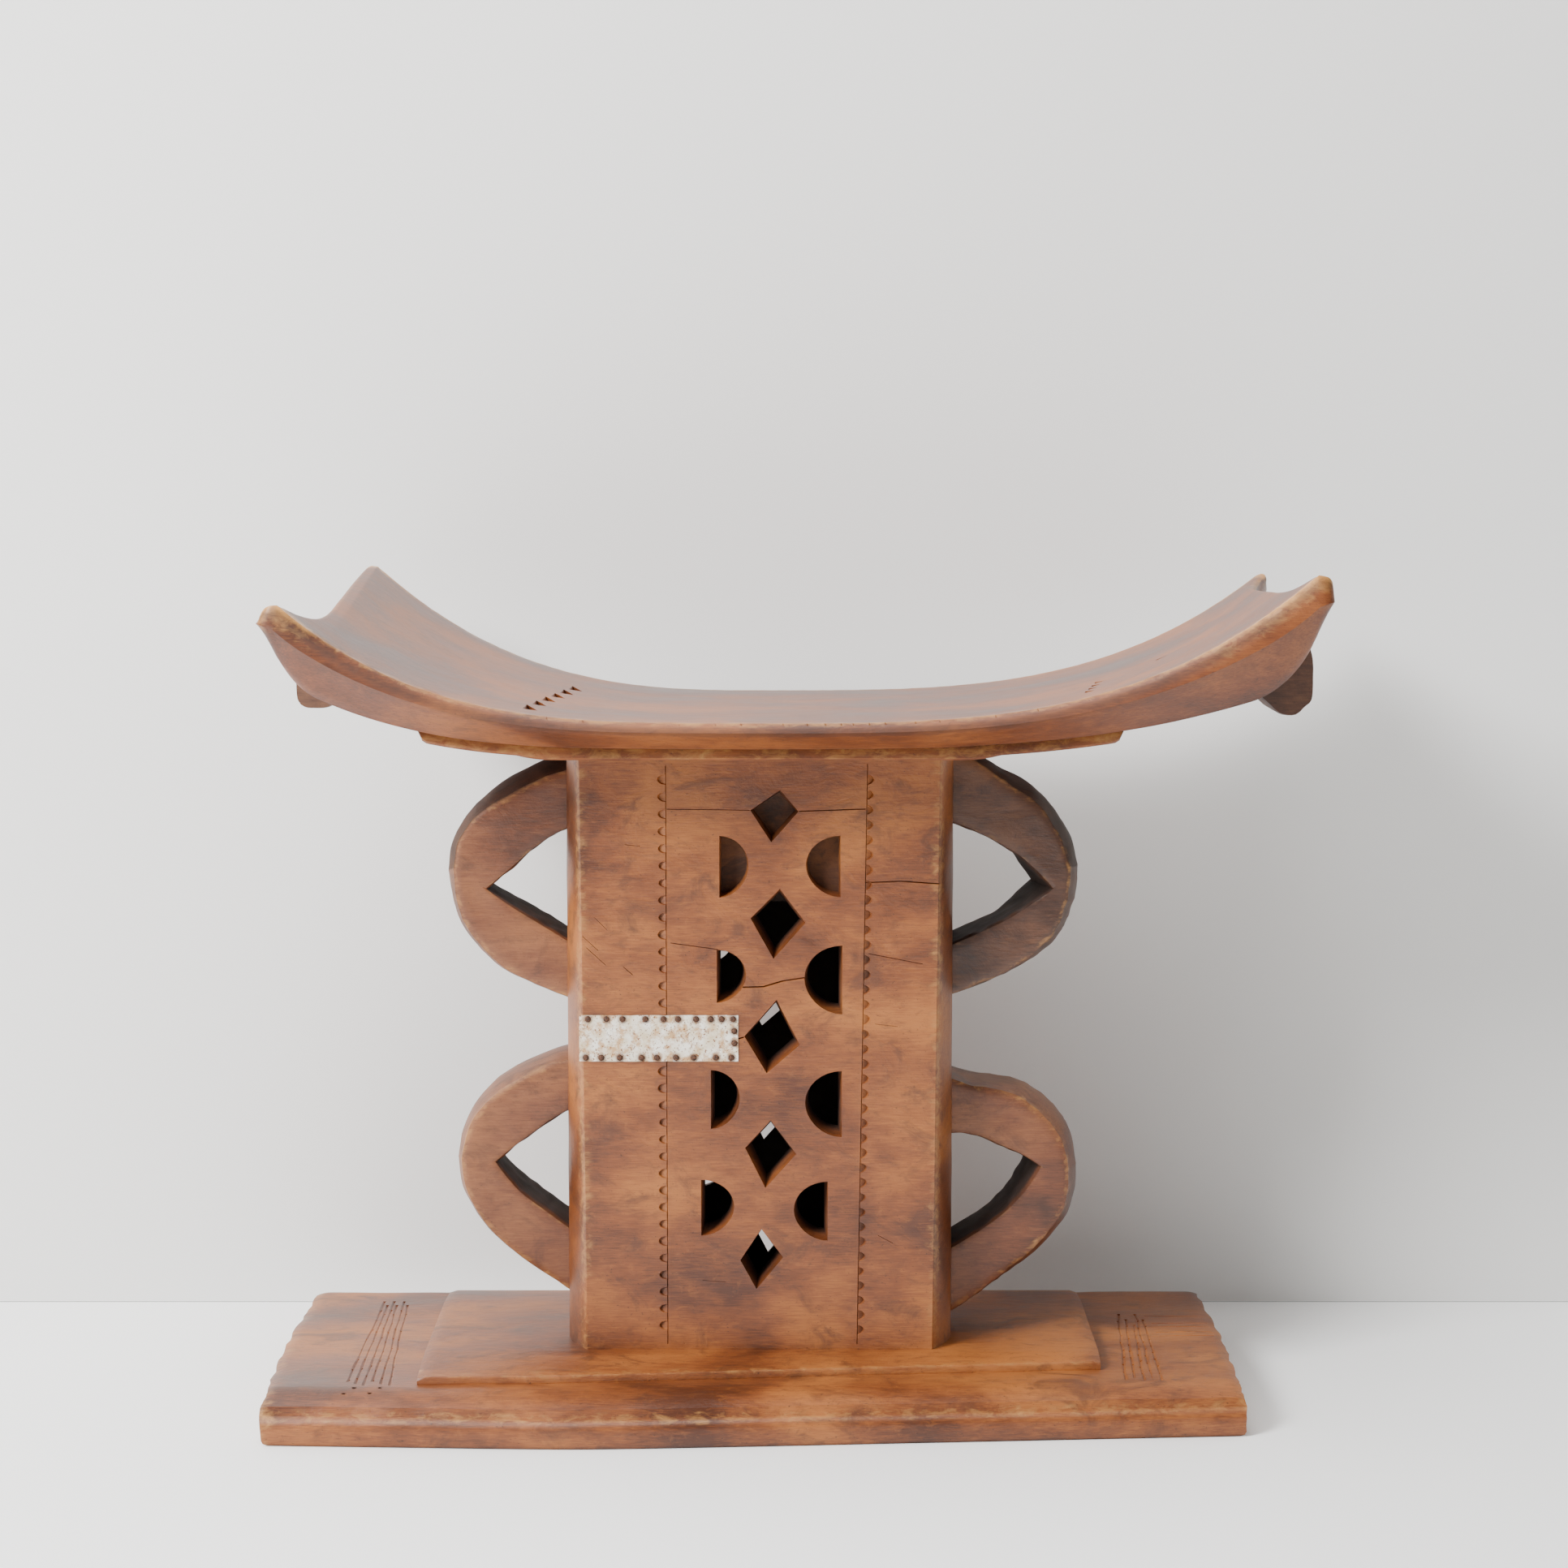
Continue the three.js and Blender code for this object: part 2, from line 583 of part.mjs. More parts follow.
/**
 * One cross-section of the seat. Up to the panel's ends it stands square to X. Beyond them
 * it leans to follow the hollowed end, and share runs from 0 at the panel to 1 at the end.
 */
function seatSection(x, share, swell) {
  const side = x < 0 ? LEFT_SIDE : RIGHT_SIDE;
  const halfTop = SEAT_DEPTH / 2;
  const halfUnder = SEAT_UNDERSIDE_DEPTH / 2 + swell;
  const halfCrown = halfTop + SEAT_FACE_CROWN + swell;
  const xAt = (y, extra) => x + share * (side * (endReach(side, y) + extra) - x);
  const top = (y) => {
    const here = xAt(y, swell);
    return [here, y, seatTopZ(here, y)];
  };
  const under = (y) => {
    const here = xAt(y, swell);
    return [here, y, seatUndersideZ(here) - swell];
  };
  const crown = (y) => {
    const here = xAt(Math.sign(y) * halfTop, SEAT_END_ROUND + swell);
    const upper = seatTopZ(xAt(Math.sign(y) * halfTop, 0), y);
    const lower = seatUndersideZ(xAt(y, 0));
    return [here, y, lower + (upper - lower) * SEAT_CROWN_SHARE];
  };
  return [
    ...spread(-halfUnder, halfUnder, SEAT_DEPTH_STEPS).map(under),
    crown(halfCrown),
    ...spread(halfTop, -halfTop, SEAT_DEPTH_STEPS).map(top),
    crown(-halfCrown),
  ];
}

/** The seat, or with a swell a slightly larger one that cuts clear room for it. */
function seatSolid(swell) {
  const shares = spread(0, 1, SEAT_END_STEPS).slice(1);
  const rings = [
    ...shares.map((share) => seatSection(-PANEL_LEFT, share, swell)).reverse(),
    ...panelStations().map((x) => seatSection(x, 0, swell)),
    ...shares.map((share) => seatSection(PANEL_RIGHT, share, swell)),
  ];
  return ringSolid(rings);
}

/** The panel follows the seat's underside above, and is flat below where the column meets it. */
function underSeatPanel() {
  const flat = FLANK_X + PANEL_FLAT_MARGIN;
  const stations = panelStations();
  const upper = stations.map((x) => new THREE.Vector2(x, seatUndersideZ(x)));
  const lower = stations.map((x) => {
    const z = Math.abs(x) <= flat ? COLUMN_TOP : seatUndersideZ(x) - PANEL_THICKNESS;
    return new THREE.Vector2(x, z);
  });
  return prismAlongY([...lower, ...upper.reverse()], -PANEL_DEPTH / 2, PANEL_DEPTH / 2);
}

/** Lug under one end: upright outside, sloping inside, with a rounded foot. */
function gripLug(side) {
  const end = endReach(side, 0);
  const outer = end + LUG_OVERHANG;
  const foot = COLUMN_TOP + LUG_FOOT_RISE;
  const head = seatTopZ(side * end, 0) - LUG_TOP_DROP;
  const rise = seatUndersideZ(side * end) - foot;
  const footInner = outer - LUG_ROUND - LUG_FOOT;
  const profile = new THREE.Shape();
  profile.moveTo(side * outer, head);
  profile.lineTo(side * outer, foot + LUG_ROUND);
  profile.quadraticCurveTo(side * outer, foot, side * (outer - LUG_ROUND), foot);
  profile.lineTo(side * footInner, foot);
  profile.lineTo(side * (footInner - rise), foot + rise);
  profile.lineTo(side * (end - LUG_OVERHANG), head);
  profile.closePath();
  const lug = prismAlongY(profile, -LUG_WIDTH / 2, LUG_WIDTH / 2);
  return cut(lug, [seatSolid(LUG_CLEARANCE)]);
}

addMesh('seat', seatSolid(0), WOOD);
addMesh('under_seat_panel', underSeatPanel(), WOOD);
addMesh('left_grip_lug', gripLug(LEFT_SIDE), WOOD);
addMesh('right_grip_lug', gripLug(RIGHT_SIDE), WOOD);

// ---------------------------------------------------------------- frame

const rightmost = endReach(RIGHT_SIDE, 0) + LUG_OVERHANG;
stool.position.x = (SLAB_LEFT - rightmost) / 2;
stool.updateMatrixWorld(true);

export default stool;
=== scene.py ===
"""A carved wooden stool with a crescent seat, a pierced column, four loop handles and a
stepped base, all cut from one block, and a painted tin plate tacked over a crack.

Lengths inside the classes are millimetres from the column's own axis, as the carver would
lay the stool out. One function turns them into metres in the shared frame.
"""

import logging
import math
from dataclasses import dataclass
from enum import Enum
from typing import Callable, Iterable, Sequence

import bmesh
import bpy
import numpy as np
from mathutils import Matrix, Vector, noise


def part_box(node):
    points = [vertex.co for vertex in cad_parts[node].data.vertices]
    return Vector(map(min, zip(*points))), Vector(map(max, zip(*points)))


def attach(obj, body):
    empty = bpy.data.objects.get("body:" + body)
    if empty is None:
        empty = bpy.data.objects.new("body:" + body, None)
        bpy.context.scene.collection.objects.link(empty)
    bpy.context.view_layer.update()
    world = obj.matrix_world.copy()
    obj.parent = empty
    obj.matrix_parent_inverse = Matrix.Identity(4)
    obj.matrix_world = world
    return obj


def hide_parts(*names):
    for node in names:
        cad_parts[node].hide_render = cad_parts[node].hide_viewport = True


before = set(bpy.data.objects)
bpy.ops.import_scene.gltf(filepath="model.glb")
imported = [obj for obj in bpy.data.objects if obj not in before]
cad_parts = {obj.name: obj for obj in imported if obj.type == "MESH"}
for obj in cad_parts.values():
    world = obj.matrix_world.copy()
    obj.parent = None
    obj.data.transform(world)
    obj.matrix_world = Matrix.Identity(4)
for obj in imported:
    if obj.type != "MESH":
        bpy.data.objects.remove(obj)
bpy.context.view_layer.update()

LOG = logging.getLogger("stool")
MM = 0.001
AXIS_X = -16.5  # the column's axis in the shared frame, in millimetres
FINE_ANGLE = math.radians(32)

Point = tuple[float, float, float]
Flat = tuple[float, float]


class Side(Enum):
    """Which side of the column a piece is on."""

    LEFT = -1
    RIGHT = 1


class Face(Enum):
    """Which face of the column is carved."""

    FRONT = -1
    BACK = 1


# ---------------------------------------------------------------- small maths


def to_frame(points: np.ndarray) -> np.ndarray:
    """Turns the carver's millimetres into metres in the shared frame.

    Args:
        points: N by 3 array of millimetres from the column's axis.

    Returns:
        N by 3 array of metres.
    """
    moved = np.array(points, float)
    moved[:, 0] += AXIS_X
    return moved * MM


def rough(x: float, y: float, z: float, size: float, seed: float) -> float:
    """Smooth noise from -1 to 1 whose lumps are about a given size.

    Args:
        x, y, z: place in millimetres.
        size: width of a lump in millimetres.
        seed: shifts the pattern, so that no two pieces repeat.

    Returns:
        The noise at that place.
    """
    return noise.noise(Vector((x / size + seed, y / size - seed, z / size + 2 * seed)))


def along(points: Sequence[Flat], share: float) -> Flat:
    """Point at a share of the way along a smooth line through points.

    Args:
        points: the line's points, as X and Z.
        share: 0 at its start and 1 at its end, by length.

    Returns:
        X and Z of the point.
    """
    line = np.array(points, float)
    steps = np.r_[0.0, np.cumsum(np.hypot(*np.diff(line, axis=0).T))]
    here = share * steps[-1]
    index = int(np.clip(np.searchsorted(steps, here) - 1, 0, len(line) - 2))
    before = line[max(index - 1, 0)]
    start, end = line[index], line[index + 1]
    after = line[min(index + 2, len(line) - 1)]
    span = steps[index + 1] - steps[index]
    t = (here - steps[index]) / span if span else 0.0
    bend = 0.5 * (
        2 * start
        + (end - before) * t
        + (2 * before - 5 * start + 4 * end - after) * t**2
        + (3 * start - before - 3 * end + after) * t**3
    )
    return float(bend[0]), float(bend[1])


# ---------------------------------------------------------------- meshes


def mesh_piece(name: str, points: np.ndarray, faces: Iterable[Sequence[int]]) -> bpy.types.Object:
    """Makes an object of a mesh given in the carver's millimetres.

    Args:
        name: the piece's name.
        points: N by 3 array of millimetres.
        faces: vertex numbers of each face.

    Returns:
        The new object, with its faces turned outwards.
    """
    mesh = bpy.data.meshes.new(name)
    mesh.from_pydata(to_frame(points).tolist(), [], [list(f) for f in faces])
    shape = bmesh.new()
    shape.from_mesh(mesh)
    bmesh.ops.recalc_face_normals(shape, faces=shape.faces)
    shape.to_mesh(mesh)
    shape.free()
    piece = bpy.data.objects.new(name, mesh)
    bpy.context.scene.collection.objects.link(piece)
    return piece


def rings_piece(name: str, rings: Sequence[Sequence[Point]],
                cap: Callable[[int], list[Sequence[int]]] | None = None) -> bpy.types.Object:
    """Skins a closed solid over rings of equal point count.

    Args:
        name: the piece's name.
        rings: the sections, each a list of points in millimetres.
        cap: gives the faces that close an end, from the number of its first point. Without
            it each end is closed by a fan from its middle.

    Returns:
        The new object.
    """
    count = len(rings[0])
    points = [p for ring in rings for p in ring]
    faces: list[Sequence[int]] = []
    for row in range(len(rings) - 1):
        for here in range(count):
            a, b = row * count + here, row * count + (here + 1) % count
            faces.append((a, b, b + count, a + count))
    for ring, start in ((rings[0], 0), (rings[-1], (len(rings) - 1) * count)):
        if cap:
            faces += cap(start)
            continue
        hub = len(points)
        points.append(tuple(np.mean(np.array(ring), axis=0)))
        faces += [(hub, start + i, start + (i + 1) % count) for i in range(count)]
    return mesh_piece(name, np.array(points), faces)


def strip_cap(start: int, low: int, back: int, front: int) -> list[Sequence[int]]:
    """Faces that close an end whose ring runs along the bottom, up, back over the top, down.

    Args:
        start: number of the ring's first point.
        low: how many points run along the bottom, and as many along the top.
        back: how many lie between bottom and top at the back.
        front: how many lie between top and bottom at the front.

    Returns:
        Strips from bottom to top, and a face for each side.
    """
    last = start + 2 * low + back - 1
    strips = [(start + i, start + i + 1, last - i - 1, last - i) for i in range(low - 1)]
    return strips + [[start + low - 1 + k for k in range(back + 2)],
                     [last + k for k in range(front + 1)] + [start]]


def carve(piece: bpy.types.Object, cutters: Sequence[bpy.types.Object]) -> None:
    """Cuts tools out of a piece and removes the tools.

    Args:
        piece: the wood.
        cutters: closed solids, which may touch each other.
    """
    if not cutters:
        return
    group = bpy.data.collections.new(piece.name + "_tools")
    for cutter in cutters:
        group.objects.link(cutter)
    bpy.context.scene.collection.children.link(group)
    cut = piece.modifiers.new("carve", "BOOLEAN")
    cut.operation, cut.operand_type, cut.solver = "DIFFERENCE", "COLLECTION", "EXACT"
    cut.collection = group
    settle(piece)
    for cutter in cutters:
        bpy.data.meshes.remove(cutter.data)
    bpy.data.collections.remove(group)


def settle(piece: bpy.types.Object) -> None:
    """Turns a piece's modifiers into plain mesh.

    Args:
        piece: the piece.
    """
    graph = bpy.context.evaluated_depsgraph_get()
    made = bpy.data.meshes.new_from_object(piece.evaluated_get(graph))
    piece.modifiers.clear()
    old, piece.data = piece.data, made
    bpy.data.meshes.remove(old)


def smooth(piece: bpy.types.Object, angle: float = FINE_ANGLE) -> None:
    """Shades a piece smooth, with a crease wherever it turns by more than an angle."""
    piece.data.shade_smooth()
    piece.data.set_sharp_from_angle(angle=angle)


def prism(name: str, outline: Sequence[Flat], start: float, end: float, taper: Flat
          ) -> bpy.types.Object:
    """A cutter along Y that narrows from its start to its end.

    Args:
        name: the cutter's name.
        outline: X and Z points in order.
        start, end: its two Y values.
        taper: how far each side, and the top and bottom, come in.

    Returns:
        The cutter.
    """
    line = np.array(outline)
    low, high = line.min(axis=0), line.max(axis=0)
    middle = (low + high) / 2
    shrink = 1 - 2 * np.array(taper) / (high - low)
    far = [(x, end, z) for x, z in middle + (line - middle) * shrink]
    return rings_piece(name, [[(x, start, z) for x, z in outline], far])


def groove(name: str, start: Point, end: Point, width: float, depth: float, out: Point
           ) -> bpy.types.Object:
    """A thin wedge, which cuts a scored line or a crack that is sharp at its bottom.

    Args:
        name: the cutter's name.
        start, end: the line on the surface.
        width: how wide the line is at the surface, in millimetres.
        depth: how deep it goes.
        out: the direction out of the surface.

    Returns:
        The cutter.
    """
    a, b, up = (np.array(v, float) for v in (start, end, out))
    run = (b - a) / np.linalg.norm(b - a)
    across = np.cross(run, up)
    lift = up * 0.6
    rings = []
    for p in (a, b):
        rings.append([tuple(p - across * width / 2 + lift),
                      tuple(p + across * width / 2 + lift), tuple(p - up * depth)])
    return rings_piece(name, rings)


# ---------------------------------------------------------------- finishes


class Kind(Enum):
    """Shader nodes in use, each with the output that it is wanted for."""

    PLACE = ("ShaderNodeTexCoord", "Object")
    MAPPING = ("ShaderNodeMapping", 0)
    NOISE = ("ShaderNodeTexNoise", 0)
    MATH = ("ShaderNodeMath", 0)
    RANGE = ("ShaderNodeMapRange", 0)
    RAMP = ("ShaderNodeValToRGB", 0)
    BLEND = ("ShaderNodeMix", 2)
    LAYER = ("ShaderNodeAttribute", 2)
    BUMP = ("ShaderNodeBump", 0)
    SKIN = ("ShaderNodeBsdfPrincipled", 0)
    CLEAR = ("ShaderNodeBsdfTransparent", 0)
    BEHIND = ("ShaderNodeNewGeometry", "Backfacing")
    EITHER = ("ShaderNodeMixShader", 0)
    RESULT = ("ShaderNodeOutputMaterial", None)


def srgb(code: str) -> tuple[float, float, float, float]:
    """Linear colour of an sRGB hex code.

    Args:
        code: the code, such as "#A0653F".

    Returns:
        Red, green and blue, and an alpha of one.
    """
    parts = [int(code[i:i + 2], 16) / 255 for i in (1, 3, 5)]
    linear = [c / 12.92 if c <= 0.04045 else ((c + 0.055) / 1.055) ** 2.4 for c in parts]
    return (*linear, 1.0)


def add_node(tree: bpy.types.NodeTree, kind: Kind, settings: dict | None = None,
             links: dict | None = None) -> bpy.types.NodeSocket | None:
    """Adds a node with its settings and links.

    Args:
        tree: the node tree.
        kind: which node.
        settings: attribute names, or socket names or numbers, with their values. A colour
            is given as its sRGB code, and a ramp's stops as positions with codes.
        links: socket names or numbers of the node, with the sockets that feed them.

    Returns:
        The output that this kind is wanted for, if it has one.
    """
    type_name, output = kind.value
    node = tree.nodes.new(type_name)
    for key, value in (settings or {}).items():
        if key == "stops":
            stops = node.color_ramp.elements
            for index, (position, code) in enumerate(value):
                stop = stops[index] if index < 2 else stops.new(position)
                stop.position, stop.color = position, srgb(code)
        elif isinstance(key, str) and hasattr(node, key):
            setattr(node, key, value)
        else:
            node.inputs[key].default_value = srgb(value) if isinstance(value, str) else value
    for key, source in (links or {}).items():
        tree.links.new(source, node.inputs[key])
    return None if output is None else node.outputs[output]


def blank(name: str) -> tuple[bpy.types.Material, bpy.types.NodeTree, bpy.types.NodeSocket]:
    """Starts a material.

    Args:
        name: its name.

    Returns:
        The material, its empty tree, and the place on the object in metres.
    """
    material = bpy.data.materials.new(name)
    material.use_nodes = True
    tree = material.node_tree
    tree.nodes.clear()
    return material, tree, add_node(tree, Kind.PLACE)


@dataclass(frozen=True)
class CarvedWood:
    """Oiled and handled hardwood, cut with an adze and knife, then rubbed with sand and leaves.

    Hands leave a satin sheen with cloudy darker stains, and rubbed edges go pale in patches.
    The grain runs along the seat, through every member alike, because they are one block.
    """

    name: str
    dark: str = "#48210A"
    middle: str = "#763E18"
    light: str = "#9B5C27"
    stain: str = "#452414"
    stain_amount: float = 0.6
    # dark of the open pores, and the colour of the painted shade in hollows and under things
    pore_and_shade_dark: str = "#26150B"
    edge: str = "#BC8648"
    roughness: float = 0.44
    coat: float = 0.12
    streak_mm: float = 2.6      # width of a streak of grain
    fibre_mm: float = 0.55      # width of one fibre, drawn wider than the real pores to show
    stretch: float = 16.0       # how many times longer than wide both are
    cloud_mm: float = 62.0      # slow change of tone along the block
    blot_mm: float = 21.0       # stain left by hands and oil
    mottle_mm: float = 4.62     # small patches in the stain and in the rubbed edges
    pit_mm: float = 1.0         # open pores and old dents

    def make(self) -> bpy.types.Material:
        """Builds the node material.

        Returns:
            The material.
        """
        material, tree, place = blank(self.name)
        patterns = []
        for size, detail, coarse, warp, run in (
                (self.streak_mm, 4.0, 0.6, 0.5, self.stretch),
                (self.fibre_mm, 2.0, 0.5, 0.0, self.stretch),
                (self.cloud_mm, 4.0, 0.55, 0.3, 1.5),
                (self.blot_mm, 5.0, 0.68, 1.0, 1.6),
                (self.mottle_mm, 4.0, 0.7, 0.6, 2.2),
                (self.pit_mm, 3.0, 0.6, 0.0, 1.8)):
            unit = 1 / (size * MM)
            spread = add_node(tree, Kind.MAPPING, {"Scale": (unit / run, unit, unit)},
                              {"Vector": place})
            patterns.append(add_node(tree, Kind.NOISE,
                                     {"Scale": 1.0, "Detail": detail, "Roughness": coarse,
                                      "Distortion": warp}, {"Vector": spread}))
        streaks, fibres, clouds, blots, mottle, pits = patterns

        tone = add_node(tree, Kind.RANGE, {1: 0.3, 2: 0.7, 3: 0.0, 4: 0.56}, {0: clouds})
        for pattern, share in ((streaks, 0.24), (fibres, 0.36)):
            tone = add_node(tree, Kind.MATH, {"operation": "MULTIPLY_ADD", 1: share},
                            {0: pattern, 2: tone})
        colour = add_node(tree, Kind.RAMP, {"stops": [(0.36, self.dark), (0.56, self.middle),
                                                      (0.8, self.light)]}, {0: tone})
        for pattern, low, high, most, over in (
                (blots, 0.53, 0.66, self.stain_amount, self.stain),
                (mottle, 0.52, 0.7, 0.42, self.stain),
                (mottle, 0.44, 0.3, 0.3, self.light),
                (pits, 0.64, 0.71, 0.7, self.pore_and_shade_dark)):
            amount = add_node(tree, Kind.RANGE, {1: low, 2: high, 3: 0.0, 4: most}, {0: pattern})
            colour = add_node(tree, Kind.BLEND, {"data_type": "RGBA", 7: over},
                              {0: amount, 6: colour})

        # wear pales rubbed edges; the second layer lays painted shade in hollows, creases and
        # under things
        for layer, over, reach, pattern in (("wear", self.edge, 1.5, mottle),
                                            ("stain_and_shade", self.pore_and_shade_dark, 0.45, blots)):
            stored = add_node(tree, Kind.LAYER, {"attribute_name": layer})
            centred = add_node(tree, Kind.MATH, {"operation": "SUBTRACT", 1: 0.5}, {0: pattern})
            patchy = add_node(tree, Kind.MATH, {"operation": "MULTIPLY_ADD", 1: reach},
                              {0: centred, 2: stored})
            spread = add_node(tree, Kind.RANGE, {1: 0.12, 2: 0.8}, {0: patchy})
            inside = add_node(tree, Kind.RANGE, {1: 0.02, 2: 0.12}, {0: stored})
            amount = add_node(tree, Kind.MATH, {"operation": "MULTIPLY", "use_clamp": True},
                              {0: spread, 1: inside})
            colour = add_node(tree, Kind.BLEND, {"data_type": "RGBA", 7: over},
                              {0: amount, 6: colour})
        # amount of painted shade, which also roughens the wood and takes off its coat
        stain_and_shade = stored

        height = add_node(tree, Kind.MATH, {"operation": "MULTIPLY_ADD", 1: 0.5},
                          {0: fibres, 2: pits})
        bump = add_node(tree, Kind.BUMP, {"Strength": 0.16, "Distance": 0.0005},
                        {"Height": height})
        hand = add_node(tree, Kind.BUMP, {"Strength": 0.25, "Distance": 0.002},
                        {"Height": blots, "Normal": bump})
        shine = add_node(tree, Kind.RANGE, {1: 0.3, 2: 0.7, 3: self.roughness - 0.06,
                                            4: self.roughness + 0.1}, {0: clouds})
        shine = add_node(tree, Kind.MATH, {"operation": "MULTIPLY_ADD", 1: 0.45},
                         {0: stain_and_shade, 2: shine})
        free_of_stain_and_shade = add_node(tree, Kind.RANGE, {1: 0.0, 2: 0.6, 3: 1.0, 4: 0.0}, {0: stain_and_shade})
        film = add_node(tree, Kind.MATH, {"operation": "MULTIPLY", 1: self.coat}, {0: free_of_stain_and_shade})
        skin = add_node(tree, Kind.SKIN, {"IOR": 1.5, "Coat Roughness": 0.28},
                        {"Base Color": colour, "Roughness": shine, "Normal": hand,
                         "Coat Weight": film})
        add_node(tree, Kind.RESULT, links={"Surface": skin})
        return material


@dataclass(frozen=True)
class PaintedTin:
    """Thin tinplate cut from an old tin, its cream paint chalky and pitted with rust."""

    name: str = "painted_tin"
    paint: str = "#D2C09F"
    chalk: str = "#EEE8DC"
    bloom: str = "#B98A54"
    rust: str = "#7A4A26"
    bleed: str = "#6B4024"     # rust that has run out from under a tack
    chalk_mm: float = 9.0
    patch_mm: float = 5.0
    pit_mm: float = 1.1

    def make(self) -> bpy.types.Material:
        """Builds the node material.

        Returns:
            The material.
        """
        material, tree, place = blank(self.name)
        chalky, pits, patches = (
            add_node(tree, Kind.NOISE,
                     {"Scale": 1 / (size * MM), "Detail": detail, "Roughness": coarse},
                     {"Vector": place})
            for size, detail, coarse in ((self.chalk_mm, 4.0, 0.5), (self.pit_mm, 3.0, 0.65),
                                         (self.patch_mm, 5.0, 0.7)))
        rusted = add_node(tree, Kind.RANGE, {1: 0.575, 2: 0.65}, {0: pits})
        bloomed = add_node(tree, Kind.RANGE, {1: 0.47, 2: 0.62, 3: 0.0, 4: 0.85}, {0: patches})
        near_tack = add_node(tree, Kind.LAYER, {"attribute_name": "stain_and_shade"})
        colour = add_node(tree, Kind.RAMP, {"stops": [(0.35, self.paint), (0.6, self.chalk)]},
                          {0: chalky})
        for amount, over in ((bloomed, self.bloom), (rusted, self.rust),
                             (near_tack, self.bleed)):
            colour = add_node(tree, Kind.BLEND, {"data_type": "RGBA", 7: over},
                              {0: amount, 6: colour})
        bump = add_node(tree, Kind.BUMP, {"Strength": 0.4, "Distance": 0.0003, "invert": True},
                        {"Height": pits})
        dull = add_node(tree, Kind.RANGE, {1: 0.0, 2: 1.0, 3: 0.5, 4: 0.85}, {0: rusted})
        skin = add_node(tree, Kind.SKIN, {"IOR": 1.5},
                        {"Base Color": colour, "Roughness": dull, "Normal": bump})
        add_node(tree, Kind.RESULT, links={"Surface": skin})
        return material


@dataclass(frozen=True)
class RustyIron:
    """Cut iron tacks with hammered heads, brown-black with old rust and nearly matt."""

    name: str = "rusty_iron"
    black: str = "#2E211B"
    brown: str = "#6A432D"
    grit_mm: float = 0.8

    def make(self) -> bpy.types.Material:
        """Builds the node material.

        Returns:
            The material.
        """
        material, tree, place = blank(self.name)
        grit = add_node(tree, Kind.NOISE, {"Scale": 1 / (self.grit_mm * MM), "Detail": 4.0},
                        {"Vector": place})
        colour = add_node(tree, Kind.RAMP, {"stops": [(0.38, self.black), (0.66, self.brown)]},
                          {0: grit})
        bump = add_node(tree, Kind.BUMP, {"Strength": 0.5, "Distance": 0.0003},
                        {"Height": grit})
        skin = add_node(tree, Kind.SKIN, {"Metallic": 0.25, "Roughness": 0.72},
                        {"Base Color": colour, "Normal": bump})
        add_node(tree, Kind.RESULT, links={"Surface": skin})
        return material


@dataclass(frozen=True)
class Paper:
    """Matt seamless paper, clear from its back so that the stool can be seen from behind."""

    name: str
    shade: str

    def make(self) -> bpy.types.Material:
        """Builds the node material.

        Returns:
            The material.
        """
        material, tree, _ = blank(self.name)
        sheet = add_node(tree, Kind.SKIN, {"Base Color": self.shade, "Roughness": 0.95})
        clear = add_node(tree, Kind.CLEAR)
        both = add_node(tree, Kind.EITHER,
                        links={0: add_node(tree, Kind.BEHIND), 1: sheet, 2: clear})
        add_node(tree, Kind.RESULT, links={"Surface": both})
        return material


def store(piece: bpy.types.Object, name: str, values: Sequence[float]) -> None:
    """Stores an amount at each point in order, and none at any points after those.

    Args:
        piece: the piece.
        name: "wear" or "soot".
        values: the amounts, which are held between 0 and 1.
    """
    layer = piece.data.attributes.get(name) or piece.data.attributes.new(name, "FLOAT", "POINT")
    full = np.zeros(len(piece.data.vertices))
    full[:len(values)] = np.clip(values, 0.0, 1.0)
    layer.data.foreach_set("value", full)


def paint(piece: bpy.types.Object, name: str, amount: Callable[[float, float, float], float]
          ) -> None:
    """Stores an amount from 0 to 1 at every point, for the finish to read.

    Args:
        piece: the piece.
        name: "wear" for rubbed edges or "soot" for painted shade in hollows, creases and under
            things, and for rust bled round the tacks.
        amount: gives the amount at a place in the carver's millimetres.
    """
    mesh = piece.data
    place = np.zeros(len(mesh.vertices) * 3)
    mesh.vertices.foreach_get("co", place)
    place = place.reshape(-1, 3) / MM
    store(piece, name, [amount(x - AXIS_X, y, z) for x, y, z in place])


def dress(piece: bpy.types.Object, finish: bpy.types.Material, slot: str, *nodes: str) -> None:
    """Finishes a piece and sets it in the frame.

    Args:
        piece: the piece.
        finish: its material.
        slot: the record's material slot, which is not used.
        nodes: the CAD nodes that it stands for.
    """
    piece.data.materials.clear()
    piece.data.materials.append(finish)
    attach(piece, "root")
    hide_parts(*nodes)
    LOG.info("%s: %d faces", piece.name, len(piece.data.polygons))


# ---------------------------------------------------------------- base


